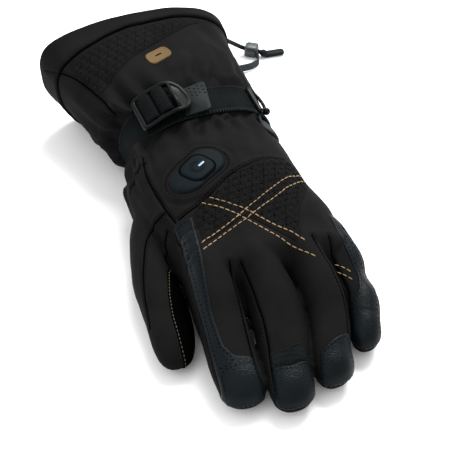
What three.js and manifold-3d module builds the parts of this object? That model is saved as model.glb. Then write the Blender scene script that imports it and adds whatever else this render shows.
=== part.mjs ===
import * as THREE from "three";
import { mergeVertices } from "three/addons/utils/BufferGeometryUtils.js";
import Module from "manifold-3d";

// Main sizes of the glove in millimetres
const GLOVE_LENGTH = 320;
const PALM_WIDTH = 120;
const PALM_HEIGHT = 60;
const WALL = 3;
const GAP = 0.3;

// Sewn-on pieces
const LEATHER = 1;
const HEM_PROUD = 0.6;
const WEBBING_WIDTH = 25;
const WEBBING = 1.8;
const BADGE_LENGTH = 17;
const BADGE_WIDTH = 10.5;
const BADGE_HEIGHT = 0.8;

// Heating control on the back of the hand
const HOUSING_LENGTH = 40;
const HOUSING_WIDTH = 22;
const HOUSING_HEIGHT = 2.6;
const BUTTON_LENGTH = 19;
const BUTTON_WIDTH = 17;
const BUTTON_FLOOR = 1;
const BUTTON_PROUD = 0.7;
const LIGHT_LENGTH = 4;
const LIGHT_WIDTH = 1.6;
const LIGHT_DEPTH = 0.6;

// Ladder buckle on the wrist strap
const BUCKLE_LENGTH = 36;
const BUCKLE_WIDTH = 33;
const BUCKLE_PLATE = 2.2;
const BUCKLE_BOW = 7;
const BUCKLE_RAIL = 3.6;
const BAR_WIDTH = 3;
const BAR_SUNK = 1.4;
const TAB_LENGTH = 17;
const TAB_SLANT = 5;
const TAB_WIDTH = 29;
const TAB_PLATE = 1.4;
const TAB_UP = -2.1;

// Place of the buckle's straight end, as shares of the palm's width, the glove's length and
// the palm's height, and its tilt in degrees
const BUCKLE_ACROSS = -0.295;
const BUCKLE_ALONG = 0.7;
const BUCKLE_UP = 1.055;
const BUCKLE_TILT = 9.3;

// Arch of the buckle's side rails, as shares of its length and of its rise
const BOW_COLUMNS = ["along", "height"];
const BOW_ROWS = [
  [0, 0],
  [0.2, 0.4],
  [0.45, 0.8],
  [0.68, 1],
  [0.86, 0.7],
  [1, 0.1],
];
const BAR_PLACES = [0.235, 0.505];

// Hook beside the strap, and the drawcord with its lock, ribbon and pull
const HOOK_WIRE = 2.6;
const CORD = 3.2;
const LOCK_LENGTH = 10;
const LOCK_WIDTH = 9;
const LOCK_HEIGHT = 8;
const RIBBON_WIDTH = 6;
const RIBBON = 0.8;
const PULL_BALL = 5.5;
const PULL_LENGTH = 15.5;
const PULL_TURN = -5;
const PULL_WIDTH = 5.5;
const PULL_PLATE = 2.4;

// Facets round each form
const BODY_SIDES = 32;
const HOLLOW_SIDES = 14;
const FINGER_SIDES = 11;
const FINGER_RINGS = 5;
const FINGER_HOLLOW_SIDES = 8;
const FINGER_HOLLOW_RINGS = 3;
const TIP_RINGS = 3;
const ROUND_SIDES = 8;
const CORD_STEPS = 15;

// Hand, wrist and cuff as one tube. along is a share of the glove's length from the fingertips,
// centre and half are shares of the palm's width, low and high of its height, and square shapes the oval.
const SECTION_COLUMNS = ["along", "centre", "half", "low", "high", "square"];
const BODY_ROWS = [
  [0.255, 0.045, 0.4, 0.12, 0.9, 2.3],
  [0.312, 0.045, 0.42, 0.06, 0.94, 2.4],
  [0.375, 0.04, 0.44, 0.0, 0.98, 2.4],
  [0.42, 0.017, 0.448, -0.02, 1.0, 2.4],
  [0.453, -0.005, 0.447, -0.04, 1.03, 2.5],
  [0.547, -0.015, 0.447, -0.04, 1.06, 2.5],
  [0.61, -0.008, 0.435, -0.03, 1.06, 2.4],
  [0.64, 0.0, 0.412, 0.03, 1.05, 2.4],
  [0.655, 0.05, 0.365, 0.1, 1.03, 2.5],
  [0.738, 0.035, 0.39, 0.1, 1.06, 2.5],
  [0.752, 0.02, 0.42, 0.05, 1.1, 2.4],
  [0.775, 0.0, 0.455, 0.0, 1.15, 2.4],
  [0.813, -0.015, 0.475, -0.04, 1.18, 2.4],
  [0.89, -0.045, 0.505, -0.05, 1.22, 2.5],
  [1.0, -0.065, 0.545, -0.05, 1.25, 2.6],
];
const BODY_TIP = 0.035;
const BODY_BLUNT = 0.33;

// Dents (negative height) and swells of the cloth on that tube. angle runs anticlockwise from the
// little finger's side in degrees, length is a share of the glove's length, height a share of the palm's height.
// Columns: along, angle, length, spread, height.
const FOLD_ROWS = [
  [1.0, 150, 0.1, 22, 0.06],
  [1.0, 205, 0.06, 25, -0.06],
  [0.89, 205, 0.09, 28, -0.09],
  [1.0, 38, 0.08, 22, 0.02],
];

// Gathers of the cloth beside the strap: pleats round the tube, the first at turn degrees
// Columns: along, length, pleats, turn, height.
const GATHER_ROWS = [
  [0.636, 0.016, 8, 12, 0.022],
  [0.764, 0.02, 8, 4, 0.03],
];

// Fingers and thumb, in the same shares. The first row is the end of the rounded tip.
const FINGER_ROWS = {
  index: [
    [0.037, -0.322, 0.11, 0.03, 0.36, 2.2],
    [0.07, -0.323, 0.113, 0.04, 0.42, 2.2],
    [0.125, -0.318, 0.118, 0.06, 0.52, 2.2],
    [0.2, -0.297, 0.12, 0.1, 0.68, 2.2],
    [0.28, -0.28, 0.115, 0.12, 0.86, 2.5],
    [0.36, -0.26, 0.12, 0.14, 0.95, 2.8],
  ],
  middle: [
    [0.001, -0.115, 0.105, 0.03, 0.34, 2.2],
    [0.037, -0.103, 0.11, 0.03, 0.4, 2.2],
    [0.08, -0.085, 0.118, 0.05, 0.48, 2.2],
    [0.126, -0.058, 0.13, 0.08, 0.58, 2.2],
    [0.174, -0.036, 0.132, 0.12, 0.7, 2.2],
    [0.213, -0.03, 0.128, 0.13, 0.8, 2.2],
    [0.28, -0.045, 0.114, 0.14, 0.92, 2.5],
    [0.36, -0.05, 0.12, 0.16, 0.97, 2.8],
  ],
  ring: [
    [0.03, 0.12, 0.1, 0.03, 0.36, 2.2],
    [0.065, 0.135, 0.102, 0.03, 0.4, 2.2],
    [0.09, 0.15, 0.104, 0.05, 0.46, 2.2],
    [0.142, 0.194, 0.107, 0.08, 0.58, 2.2],
    [0.18, 0.214, 0.107, 0.12, 0.7, 2.2],
    [0.21, 0.216, 0.107, 0.13, 0.78, 2.2],
    [0.25, 0.203, 0.108, 0.14, 0.86, 2.2],
    [0.29, 0.184, 0.107, 0.15, 0.92, 2.5],
    [0.36, 0.16, 0.12, 0.16, 0.96, 2.8],
  ],
  little: [
    [0.094, 0.355, 0.08, 0.03, 0.34, 2.2],
    [0.12, 0.372, 0.08, 0.03, 0.38, 2.2],
    [0.153, 0.396, 0.083, 0.05, 0.44, 2.2],
    [0.195, 0.42, 0.09, 0.07, 0.52, 2.2],
    [0.253, 0.418, 0.098, 0.1, 0.62, 2.2],
    [0.29, 0.405, 0.106, 0.11, 0.7, 2.2],
    [0.33, 0.386, 0.112, 0.12, 0.78, 2.3],
    [0.37, 0.35, 0.11, 0.14, 0.8, 2.4],
  ],
  thumb: [
    [0.17, -0.55, 0.09, 0.05, 0.3, 2.2],
    [0.2, -0.54, 0.095, 0.05, 0.36, 2.2],
    [0.24, -0.527, 0.107, 0.03, 0.43, 2.2],
    [0.3, -0.51, 0.11, 0.02, 0.5, 2.2],
    [0.363, -0.503, 0.107, 0.01, 0.56, 2.2],
    [0.42, -0.472, 0.107, 0.01, 0.62, 2.2],
    [0.49, -0.415, 0.115, 0.01, 0.66, 2.2],
    [0.56, -0.34, 0.09, 0.04, 0.62, 2.2],
  ],
};
const FINGER_TIP = 0.04;
const FINGER_BLUNT = 0.37;

// Outlines of sewn-on pieces seen from above, as across (share of the palm's width)
// and along (share of the glove's length)
const INDEX_STRIP = [
  [-0.47, 0.09],
  [-0.2, 0.09],
  [-0.235, 0.1],
  [-0.33, 0.106],
  [-0.362, 0.13],
  [-0.358, 0.19],
  [-0.335, 0.246],
  [-0.305, 0.303],
  [-0.288, 0.35],
  [-0.26, 0.405],
  [-0.36, 0.405],
  [-0.47, 0.3],
];
const INDEX_TIP = [
  [-0.6, -0.05],
  [-0.1, -0.05],
  [-0.1, 0.094],
  [-0.6, 0.094],
];
const MIDDLE_TIP = [
  [-0.4, -0.05],
  [0.2, -0.05],
  [0.2, 0.065],
  [-0.4, 0.065],
];
const MIDDLE_BAND = [
  [-0.4, 0.069],
  [0.2, 0.069],
  [0.2, 0.096],
  [-0.4, 0.096],
];
const RING_TIP = [
  [-0.1, -0.05],
  [0.45, -0.05],
  [0.45, 0.128],
  [-0.1, 0.05],
];
const LITTLE_TIP = [
  [0.2, 0.0],
  [0.6, 0.0],
  [0.6, 0.21],
  [0.435, 0.225],
  [0.4, 0.185],
  [0.33, 0.166],
  [0.2, 0.16],
];
const LITTLE_STRIP = [
  [0.6, 0.18],
  [0.6, 0.4],
  [0.42, 0.395],
  [0.41, 0.34],
  [0.412, 0.3],
  [0.422, 0.25],
  [0.432, 0.18],
];
const THUMB_PATCH = [
  [-0.3, 0.14],
  [-0.3, 0.36],
  [-0.44, 0.36],
  [-0.49, 0.3],
  [-0.518, 0.25],
  [-0.53, 0.19],
  [-0.53, 0.14],
];
const KNUCKLE_PANEL = [
  [-0.28, 0.322],
  [-0.025, 0.36],
  [0.1, 0.296],
  [0.16, 0.27],
  [0.215, 0.3],
  [0.25, 0.345],
  [0.38, 0.415],
  [0.4, 0.45],
  [0.37, 0.5],
  [0.19, 0.494],
  [0.026, 0.473],
  [-0.083, 0.448],
  [-0.2, 0.424],
  [-0.25, 0.408],
  [-0.27, 0.36],
];
const CUFF_PANEL = [
  [-0.5, 0.925],
  [-0.49, 0.887],
  [-0.414, 0.805],
  [-0.302, 0.833],
  [-0.172, 0.862],
  [-0.016, 0.886],
  [0.2, 0.93],
  [0.33, 0.955],
  [0.15, 0.957],
  [-0.13, 0.951],
  [-0.42, 0.926],
];
const HEM = [
  [-0.8, 0.925],
  [-0.5, 0.931],
  [-0.13, 0.961],
  [0.16, 0.968],
  [0.8, 0.968],
  [0.8, 1.2],
  [-0.8, 1.2],
];

// Heights between which the top pieces are cut, as shares of the palm's height
const TOP_FROM = 0.55;
const TOP_TO = 3;

// Slanting lower edges of the index strip and the little finger's strip: along and height
const INDEX_FLANK = [
  [0.05, 0.3],
  [0.124, 0.38],
  [0.218, 0.5],
  [0.28, 0.6],
  [0.344, 0.73],
  [0.41, 0.8],
  [0.41, 2],
  [0.05, 2],
];
const LITTLE_FLANK = [
  [0.12, 0.2],
  [0.41, 0.5],
  [0.41, 2],
  [0.12, 2],
];

// Places of the facets of the hollow inside it
const HOLLOW_PLACES = [0.3, 0.4, 0.5, 0.61, 0.66, 0.735, 0.8, 0.9, 1.01];

// Places of the tube's facets, closer together beside the strap
const BODY_PLACES = [
  0.29, 0.34, 0.4, 0.46, 0.54, 0.6, 0.632, 0.655, 0.738, 0.75, 0.766, 0.79,
  0.84, 0.91, 1,
];

// Height from which the ribbed band covers the finger, as a share of the palm's height
const BAND_FROM = 0.25;

// Where the parts of the tube meet, as shares of the glove's length
const FINGER_SEAM = 0.25;
const WRIST_SEAM = 0.698;
// Height of the seam between the back and the palm, as a share of the palm's height
const SIDE_SEAM = 0.5;
const STRAP_MIDDLE = 0.698;

const wasm = await Module();
wasm.setup();

// A three.js geometry as a solid
function solidFrom(geometry) {
  const bare = geometry.index ? geometry.toNonIndexed() : geometry.clone();
  bare.deleteAttribute("normal");
  bare.deleteAttribute("uv");
  const merged = mergeVertices(bare, 1e-4);
  const mesh = new wasm.Mesh({
    numProp: 3,
    vertProperties: merged.attributes.position.array,
    triVerts: new Uint32Array(merged.index.array),
  });
  return new wasm.Manifold(mesh);
}

// A solid as a three.js geometry with flat faces
function geometryFrom(solid) {
  const mesh = solid.getMesh();
  const geometry = new THREE.BufferGeometry();
  geometry.setAttribute("position", new THREE.BufferAttribute(new Float32Array(mesh.vertProperties), 3));
  geometry.setIndex(new THREE.BufferAttribute(new Uint32Array(mesh.triVerts), 1));
  const flat = geometry.toNonIndexed();
  flat.computeVertexNormals();
  return flat;
}

// The biggest body of a solid, without the slivers that a cut leaves beside it
function largest(solid) {
  const bodies = solid.decompose();
  return bodies.reduce((best, each) => (each.volume() > best.volume() ? each : best));
}

const spread = (from, to, steps) => Array.from({ length: steps + 1 }, (_, i) => from + ((to - from) * i) / steps);
const radians = (degrees) => (degrees * Math.PI) / 180;
const signedPower = (value, power) => Math.sign(value) * Math.abs(value) ** power;

// A smooth value of one column at a place between the rows, without overshoot
function columnAt(rows, column, along) {
  const last = rows.length - 1;
  if (along <= rows[0][0]) return rows[0][column];
  if (along >= rows[last][0]) return rows[last][column];
  let i = 0;
  while (along > rows[i + 1][0]) i += 1;
  const slope = (k) => (rows[k + 1][column] - rows[k][column]) / (rows[k + 1][0] - rows[k][0]);
  const tangent = (k) => {
    if (k === 0) return slope(0);
    if (k === last) return slope(last - 1);
    const before = slope(k - 1);
    const after = slope(k);
    return before * after <= 0 ? 0 : (2 * before * after) / (before + after);
  };
  const span = rows[i + 1][0] - rows[i][0];
  const t = (along - rows[i][0]) / span;
  const t2 = t * t;
  const t3 = t2 * t;
  return (
    (2 * t3 - 3 * t2 + 1) * rows[i][column] +
    (t3 - 2 * t2 + t) * span * tangent(i) +
    (3 * t2 - 2 * t3) * rows[i + 1][column] +
    (t3 - t2) * span * tangent(i + 1)
  );
}

// Height of the dents and gathers at one place, in millimetres
function foldHeight(along, angle, gathers) {
  let height = 0;
  for (const row of FOLD_ROWS) {
    const [place, turn, length, wide, tall] = row;
    const off = angle - radians(turn);
    const across = Math.atan2(Math.sin(off), Math.cos(off)) / radians(wide);
    const down = (along - place) / length;
    height += tall * PALM_HEIGHT * Math.exp(-across * across - down * down);
  }
  for (const row of gathers) {
    const [place, length, pleats, turn, tall] = row;
    const down = (along - place) / length;
    height += tall * PALM_HEIGHT * Math.exp(-down * down) * Math.cos(pleats * (angle - radians(turn)));
  }
  return height;
}

// How far into its rounded tip a place lies: 0 at the very end, 1 where the full section begins
const tipShare = (form, along) => Math.min(1, Math.max(0, (along - form.rows[0][0]) / form.tip));

// One point on a form at an offset from its surface
function pointOn(form, along, angle, offset) {
  const at = (name) => columnAt(form.rows, SECTION_COLUMNS.indexOf(name), along);
  const low = at("low") * PALM_HEIGHT;
  const high = at("high") * PALM_HEIGHT;
  const fold = form.gathers ? foldHeight(along, angle, form.gathers) : 0;
  const short = 1 - tipShare(form, along);
  const scale = (1 - short ** 2) ** form.blunt;
  const wide = (at("half") * PALM_WIDTH + offset + fold) * scale;
  const tall = ((high - low) / 2 + offset + fold) * scale;
  const x = at("centre") * PALM_WIDTH + wide * signedPower(Math.cos(angle), 2 / at("square"));
  const z = (low + high) / 2 + tall * signedPower(Math.sin(angle), 2 / at("square"));
  return new THREE.Vector3(x, along * GLOVE_LENGTH - short * offset, Math.max(z, -offset, 0));
}

// A closed solid of a form with a ring of points at each place, from its tip to a flat end
function loft(form, offset, sides, tipRings, places) {
  const start = form.rows[0][0];
  const rings = [];
  for (let k = 0; k < tipRings; k += 1) {
    const turn = ((k + 0.4) / tipRings) * (Math.PI / 2);
    rings.push(start + form.tip * (1 - Math.cos(turn)));
  }
  rings.push(...places);
  const positions = [];
  const index = [];
  for (const along of rings) {
    for (let j = 0; j < sides; j += 1) {
      const angle = (j / sides) * 2 * Math.PI;
      positions.push(...pointOn(form, along, angle, offset).toArray());
    }
  }
  const lastRing = (rings.length - 1) * sides;
  for (const first of [0, lastRing]) {
    const middle = new THREE.Vector3();
    for (let j = 0; j < sides; j += 1) middle.add(new THREE.Vector3().fromArray(positions, (first + j) * 3));
    middle.divideScalar(sides);
    positions.push(middle.x, middle.y, middle.z);
  }
  const front = rings.length * sides;
  const back = front + 1;
  for (let j = 0; j < sides; j += 1) {
    const next = (j + 1) % sides;
    index.push(front, j, next);
    index.push(back, lastRing + next, lastRing + j);
    for (let i = 0; i < rings.length - 1; i += 1) {
      const a = i * sides + j;
      const b = i * sides + next;
      index.push(a, a + sides, b);
      index.push(b, a + sides, b + sides);
    }
  }
  const geometry = new THREE.BufferGeometry();
  geometry.setAttribute("position", new THREE.Float32BufferAttribute(positions, 3));
  geometry.setIndex(index);
  return solidFrom(geometry);
}

const body = { rows: BODY_ROWS, tip: BODY_TIP, blunt: BODY_BLUNT, gathers: GATHER_ROWS };
const fingers = {};
for (const [name, rows] of Object.entries(FINGER_ROWS)) {
  fingers[name] = { rows, tip: FINGER_TIP, blunt: FINGER_BLUNT };
}
const rootOf = (form) => form.rows[form.rows.length - 1][0];
const fullFrom = (form) => form.rows[0][0] + form.tip;

// Outer surfaces at an offset, and the plainer hollows inside them
const bodyAt = (offset) => loft(body, offset, BODY_SIDES, TIP_RINGS, BODY_PLACES);
function fingerAt(name, offset) {
  const form = fingers[name];
  return loft(form, offset, FINGER_SIDES, TIP_RINGS, spread(fullFrom(form), rootOf(form), FINGER_RINGS));
}
const bodyHollow = loft({ ...body, gathers: [] }, -WALL, HOLLOW_SIDES, 1, HOLLOW_PLACES);
function fingerHollow(name) {
  const form = fingers[name];
  const places = spread(fullFrom(form), rootOf(form), FINGER_HOLLOW_RINGS);
  return loft(form, -WALL, FINGER_HOLLOW_SIDES, 1, places);
}

// An upright prism over an outline seen from above, widened all round by margin
function planPrism(outline, margin, from, to) {
  const points = outline.map(([across, along]) => new THREE.Vector2(across * PALM_WIDTH, along * GLOVE_LENGTH));
  return solidFrom(upright(widened(points, margin), from, to));
}
function upright(points, from, to) {
  const shape = new THREE.Shape(points);
  const geometry = new THREE.ExtrudeGeometry(shape, { depth: to - from, bevelEnabled: false });
  return geometry.translate(0, 0, from);
}

// An outline moved outwards along the bisector at each corner
function widened(points, margin) {
  if (margin === 0) return points;
  const turn = THREE.ShapeUtils.area(points) > 0 ? 1 : -1;
  return points.map((point, i) => {
    const before = points[(i + points.length - 1) % points.length];
    const after = points[(i + 1) % points.length];
    const a = point.clone().sub(before).normalize();
    const b = after.clone().sub(point).normalize();
    const normalA = new THREE.Vector2(a.y, -a.x).multiplyScalar(turn);
    const normalB = new THREE.Vector2(b.y, -b.x).multiplyScalar(turn);
    const sum = normalA.clone().add(normalB);
    return point.clone().add(sum.multiplyScalar((2 * margin) / sum.lengthSq()));
  });
}

// A prism along X over an outline of along and height
function sidePrism(outline, margin, from, to) {
  const points = outline.map(([along, height]) => new THREE.Vector2(along * GLOVE_LENGTH, height * PALM_HEIGHT));
  const geometry = new THREE.ExtrudeGeometry(new THREE.Shape(widened(points, margin)), {
    depth: to - from,
    bevelEnabled: false,
  });
  const turned = new THREE.Matrix4().makeBasis(
    new THREE.Vector3(0, 1, 0),
    new THREE.Vector3(0, 0, 1),
    new THREE.Vector3(1, 0, 0),
  );
  return solidFrom(geometry.applyMatrix4(turned).translate(from, 0, 0));
}

// Everything between two places along the glove
function slab(from, to) {
  const box = new THREE.BoxGeometry(4 * PALM_WIDTH, to - from, 4 * PALM_HEIGHT);
  return solidFrom(box.translate(0, (from + to) / 2, PALM_HEIGHT));
}

// A stadium or rounded rectangle at a place on the back, turned in plan
function roundedOutline(length, width, corner, across, along, turn) {
  const shape = new THREE.Shape();
  const x = length / 2;
  const y = width / 2;
  shape.moveTo(-x + corner, -y);
  shape.lineTo(x - corner, -y);
  shape.absarc(x - corner, -y + corner, corner, -Math.PI / 2, 0);
  shape.lineTo(x, y - corner);
  shape.absarc(x - corner, y - corner, corner, 0, Math.PI / 2);
  shape.lineTo(-x + corner, y);
  shape.absarc(-x + corner, y - corner, corner, Math.PI / 2, Math.PI);
  shape.lineTo(-x, -y + corner);
  shape.absarc(-x + corner, -y + corner, corner, Math.PI, 1.5 * Math.PI);
  const middle = new THREE.Vector2(across * PALM_WIDTH, along * GLOVE_LENGTH);
  const points = [];
  for (const point of shape.getPoints(3)) {
    const last = points[points.length - 1];
    if (!last || last.distanceTo(point) > 1e-3) points.push(point);
  }
  if (points[0].distanceTo(points[points.length - 1]) < 1e-3) points.pop();
  return points.map((point) => point.rotateAround(new THREE.Vector2(), radians(turn)).add(middle));
}
const patch = (points, margin) => solidFrom(upright(widened(points, margin), PALM_HEIGHT / 2, 3 * PALM_HEIGHT));

// A bar of even width along a flat path, as an outline
function ribbonOutline(path, thickness) {
  const left = [];
  const right = [];
  path.forEach((point, i) => {
    const before = path[Math.max(0, i - 1)];
    const after = path[Math.min(path.length - 1, i + 1)];
    const way = after.clone().sub(before).normalize();
    const side = new THREE.Vector2(-way.y, way.x).multiplyScalar(thickness / 2);
    left.push(point.clone().add(side));
    right.unshift(point.clone().sub(side));
  });
  return [...left, ...right];
}

// A round bar or cord along a curve
function tubeAlong(curve, diameter, steps) {
  const section = new THREE.Shape(
    spread(0, ROUND_SIDES - 1, ROUND_SIDES - 1).map((k) => {
      const angle = (k / ROUND_SIDES) * 2 * Math.PI;
      return new THREE.Vector2((Math.cos(angle) * diameter) / 2, (Math.sin(angle) * diameter) / 2);
    }),
  );
  return solidFrom(new THREE.ExtrudeGeometry(section, { steps, bevelEnabled: false, extrudePath: curve }));
}

// Surfaces and beds of the hand: the tube with the fingers that one sewn-on piece crosses
const outerOf = (names, offset) => names.reduce((sum, name) => sum.add(fingerAt(name, offset)), bodyAt(offset));
const LOW = -PALM_HEIGHT;
const FULL = 3 * PALM_HEIGHT;
const FAR = 2 * PALM_WIDTH;
// A plan that takes in the whole glove, in the same shares as the outlines
const ALL_ROUND = [
  [-1, -0.2],
  [1, -0.2],
  [1, 1.3],
  [-1, 1.3],
];
const top = (outline, margin) => planPrism(outline, margin, TOP_FROM * PALM_HEIGHT - margin, TOP_TO * PALM_HEIGHT);
const whole = (outline, margin) => planPrism(outline, margin, LOW, FULL);
const upper = (outline, margin) => planPrism(outline, margin, BAND_FROM * PALM_HEIGHT - margin, FULL);

// Each sewn-on piece: the surface that it lies in and the region that it covers
const indexRegion = (margin) =>
  whole(INDEX_STRIP, margin).intersect(sidePrism(INDEX_FLANK, margin, -FAR, 0)).add(whole(INDEX_TIP, margin));
const littleRegion = (margin) =>
  whole(LITTLE_STRIP, margin).intersect(sidePrism(LITTLE_FLANK, margin, 0, FAR)).add(whole(LITTLE_TIP, margin));
const indexSurface = (offset) => bodyAt(offset).add(fingerAt("index", offset));
const littleSurface = (offset) => bodyAt(offset).add(fingerAt("little", offset));
const handSurface = (offset) => outerOf(["index", "middle", "ring", "little"], offset);
const SEWN = {
  index_leather: { surface: indexSurface, region: indexRegion },
  middle_leather_tip: { surface: (offset) => fingerAt("middle", offset), region: (m) => whole(MIDDLE_TIP, m) },
  middle_ribbed_band: { surface: (offset) => fingerAt("middle", offset), region: (m) => upper(MIDDLE_BAND, m) },
  ring_leather_tip: { surface: (offset) => fingerAt("ring", offset), region: (m) => whole(RING_TIP, m) },
  little_leather: { surface: littleSurface, region: littleRegion },
  thumb_leather: { surface: (offset) => fingerAt("thumb", offset), region: (m) => whole(THUMB_PATCH, m) },
  knuckle_panel: { surface: handSurface, region: (m) => top(KNUCKLE_PANEL, m) },
  cuff_panel: { surface: bodyAt, region: (m) => top(CUFF_PANEL, m) },
};
const bedOf = ({ surface, region }) => surface(GAP).subtract(surface(-LEATHER - GAP)).intersect(region(GAP));
const beds = Object.fromEntries(Object.entries(SEWN).map(([name, piece]) => [name, bedOf(piece)]));
const sewn = ({ surface, region }) => surface(0).subtract(surface(-LEATHER)).intersect(region(0));
const thumbClear = bodyAt(GAP).add(fingerAt("index", GAP));

const solids = {};

// Back and palm of the hand, cut for the sewn-on pieces and open to the cuff, the fingers and the thumb
const hollow = Object.keys(fingers).reduce((sum, name) => sum.add(fingerHollow(name)), bodyHollow);
const handEnds = slab(FINGER_SEAM * GLOVE_LENGTH + GAP / 2, WRIST_SEAM * GLOVE_LENGTH - GAP / 2);
const hand = handSurface(0)
  .subtract(hollow)
  .subtract(beds.index_leather)
  .subtract(beds.little_leather)
  .subtract(beds.knuckle_panel)
  .intersect(handEnds);
const sideSeam = SIDE_SEAM * PALM_HEIGHT;
solids.hand_back = hand.intersect(planPrism(ALL_ROUND, 0, sideSeam + GAP / 2, FULL));
solids.hand_palm = hand.intersect(planPrism(ALL_ROUND, 0, LOW, sideSeam - GAP / 2));
const fingerEnds = slab(-GLOVE_LENGTH, FINGER_SEAM * GLOVE_LENGTH - GAP / 2);
const stall = (name) => fingerAt(name, 0).subtract(fingerHollow(name)).intersect(fingerEnds);
solids.index_stall = stall("index").subtract(beds.index_leather);
solids.middle_stall = stall("middle").subtract(beds.middle_leather_tip).subtract(beds.middle_ribbed_band);
solids.ring_stall = stall("ring").subtract(beds.ring_leather_tip);
solids.little_stall = stall("little").subtract(beds.little_leather);
solids.thumb_stall = fingerAt("thumb", 0)
  .subtract(fingerHollow("thumb"))
  .subtract(beds.thumb_leather)
  .subtract(thumbClear);

// Cuff and its hem
const hemRegion = (margin) => whole(HEM, margin);
const cuffEnds = slab(WRIST_SEAM * GLOVE_LENGTH + GAP / 2, 2 * GLOVE_LENGTH);
solids.cuff_shell = bodyAt(0)
  .subtract(bodyHollow)
  .subtract(beds.cuff_panel)
  .intersect(cuffEnds)
  .subtract(hemRegion(GAP));
solids.cuff_hem = bodyAt(HEM_PROUD).subtract(bodyHollow).intersect(hemRegion(0));

for (const [name, piece] of Object.entries(SEWN)) solids[name] = sewn(piece);
solids.index_leather = solids.index_leather.subtract(fingerAt("thumb", GAP));
solids.thumb_leather = solids.thumb_leather.subtract(thumbClear);
solids.knuckle_panel = solids.knuckle_panel.subtract(beds.index_leather).subtract(beds.little_leather);

// A piece that lies on the back of the tube between two heights over its cloth
const onBack = (points, from, to) => bodyAt(to).subtract(bodyAt(from)).intersect(patch(points, 0));
const badge = roundedOutline(BADGE_LENGTH, BADGE_WIDTH, BADGE_WIDTH * 0.36, -0.04, 0.848, 18);
solids.cuff_badge = onBack(badge, GAP, GAP + BADGE_HEIGHT);

const housing = roundedOutline(HOUSING_LENGTH, HOUSING_WIDTH, HOUSING_WIDTH / 2, -0.143, 0.5, 31);
const button = roundedOutline(BUTTON_LENGTH, BUTTON_WIDTH, BUTTON_WIDTH * 0.32, -0.143, 0.5, 31);
const light = roundedOutline(LIGHT_LENGTH, LIGHT_WIDTH, LIGHT_WIDTH / 2, -0.11, 0.493, 31);
const buttonFrom = GAP + BUTTON_FLOOR + GAP;
const buttonTo = GAP + HOUSING_HEIGHT + BUTTON_PROUD;
const pocket = patch(button, GAP).subtract(bodyAt(GAP + BUTTON_FLOOR));
const lightPocket = patch(light, GAP).subtract(bodyAt(buttonTo - LIGHT_DEPTH - GAP));
solids.button_housing = onBack(housing, GAP, GAP + HOUSING_HEIGHT).subtract(pocket);
solids.power_button = onBack(button, buttonFrom, buttonTo).subtract(lightPocket);
solids.button_light = onBack(light, buttonTo - LIGHT_DEPTH, buttonTo);

// Wrist strap: a closed loop of webbing in the groove between hand and cuff
const strapMiddle = STRAP_MIDDLE * GLOVE_LENGTH;
const strapEnds = slab(strapMiddle - WEBBING_WIDTH / 2, strapMiddle + WEBBING_WIDTH / 2);
const besideStrap = slab(strapMiddle - WEBBING_WIDTH / 2 - GAP, strapMiddle + WEBBING_WIDTH / 2 + GAP);
solids.wrist_strap = bodyAt(GAP + WEBBING).subtract(bodyAt(GAP)).intersect(strapEnds);

// Ladder buckle in a group of its own over the strap's shoulder:
// x along the strap from the buckle's straight end, y across it, z up from the chord of its arch
const buckleGroup = new THREE.Group();
buckleGroup.position.set(BUCKLE_ACROSS * PALM_WIDTH, BUCKLE_ALONG * GLOVE_LENGTH, BUCKLE_UP * PALM_HEIGHT);
buckleGroup.rotation.y = -radians(BUCKLE_TILT);
buckleGroup.updateMatrix();
const strapAndCloth = bodyAt(2 * GAP + WEBBING).intersect(besideStrap).add(bodyAt(2 * GAP));
const toBuckle = buckleGroup.matrix.clone().invert();
const underBuckle = solidFrom(geometryFrom(strapAndCloth).applyMatrix4(toBuckle));

const acrossStrap = (points, width) => {
  const shape = new THREE.Shape(points.map(([x, z]) => new THREE.Vector2(x, z)));
  const geometry = new THREE.ExtrudeGeometry(shape, { depth: width, bevelEnabled: false });
  return solidFrom(geometry.translate(0, 0, -width / 2).rotateX(Math.PI / 2));
};
const block = (x0, x1, y0, y1, z0, z1) => {
  const box = new THREE.BoxGeometry(x1 - x0, y1 - y0, z1 - z0);
  return solidFrom(box.translate((x0 + x1) / 2, (y0 + y1) / 2, (z0 + z1) / 2));
};
const bowAt = (x) => BUCKLE_BOW * columnAt(BOW_ROWS, BOW_COLUMNS.indexOf("height"), x / BUCKLE_LENGTH);
const widthwise = (xs, below, above, width) => {
  const outline = [...xs.map((x) => [x, bowAt(x) + above]), ...[...xs].reverse().map((x) => [x, bowAt(x) - below])];
  return acrossStrap(outline, width);
};
const rim = BUCKLE_WIDTH / 2;
const corner = 0.09 * BUCKLE_WIDTH;
const straight = 0.68 * BUCKLE_LENGTH;
const planShape = new THREE.Shape();
planShape.moveTo(0, corner - rim);
planShape.quadraticCurveTo(0, -rim, corner, -rim);
planShape.lineTo(straight, -rim);
planShape.bezierCurveTo(BUCKLE_LENGTH, -rim, BUCKLE_LENGTH, -0.3 * rim, BUCKLE_LENGTH, 0);
planShape.bezierCurveTo(BUCKLE_LENGTH, 0.3 * rim, BUCKLE_LENGTH, rim, straight, rim);
planShape.lineTo(corner, rim);
planShape.quadraticCurveTo(0, rim, 0, rim - corner);
const bucklePlan = solidFrom(upright(planShape.getPoints(6).slice(0, -1), -BUCKLE_LENGTH, BUCKLE_LENGTH));
const bars = BAR_PLACES.map((share) => share * BUCKLE_LENGTH);
const slotHalf = WEBBING_WIDTH / 2 + 2 * GAP;
const slotFrom = 0.05 * BUCKLE_LENGTH;
const slotTo = 0.72 * BUCKLE_LENGTH;
const slotEdges = [slotFrom, ...bars.flatMap((x) => [x - BAR_WIDTH / 2, x + BAR_WIDTH / 2]), slotTo];
let buckle = widthwise(spread(0, BUCKLE_LENGTH, 10), BUCKLE_RAIL, 0, BUCKLE_WIDTH).intersect(bucklePlan);
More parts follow.
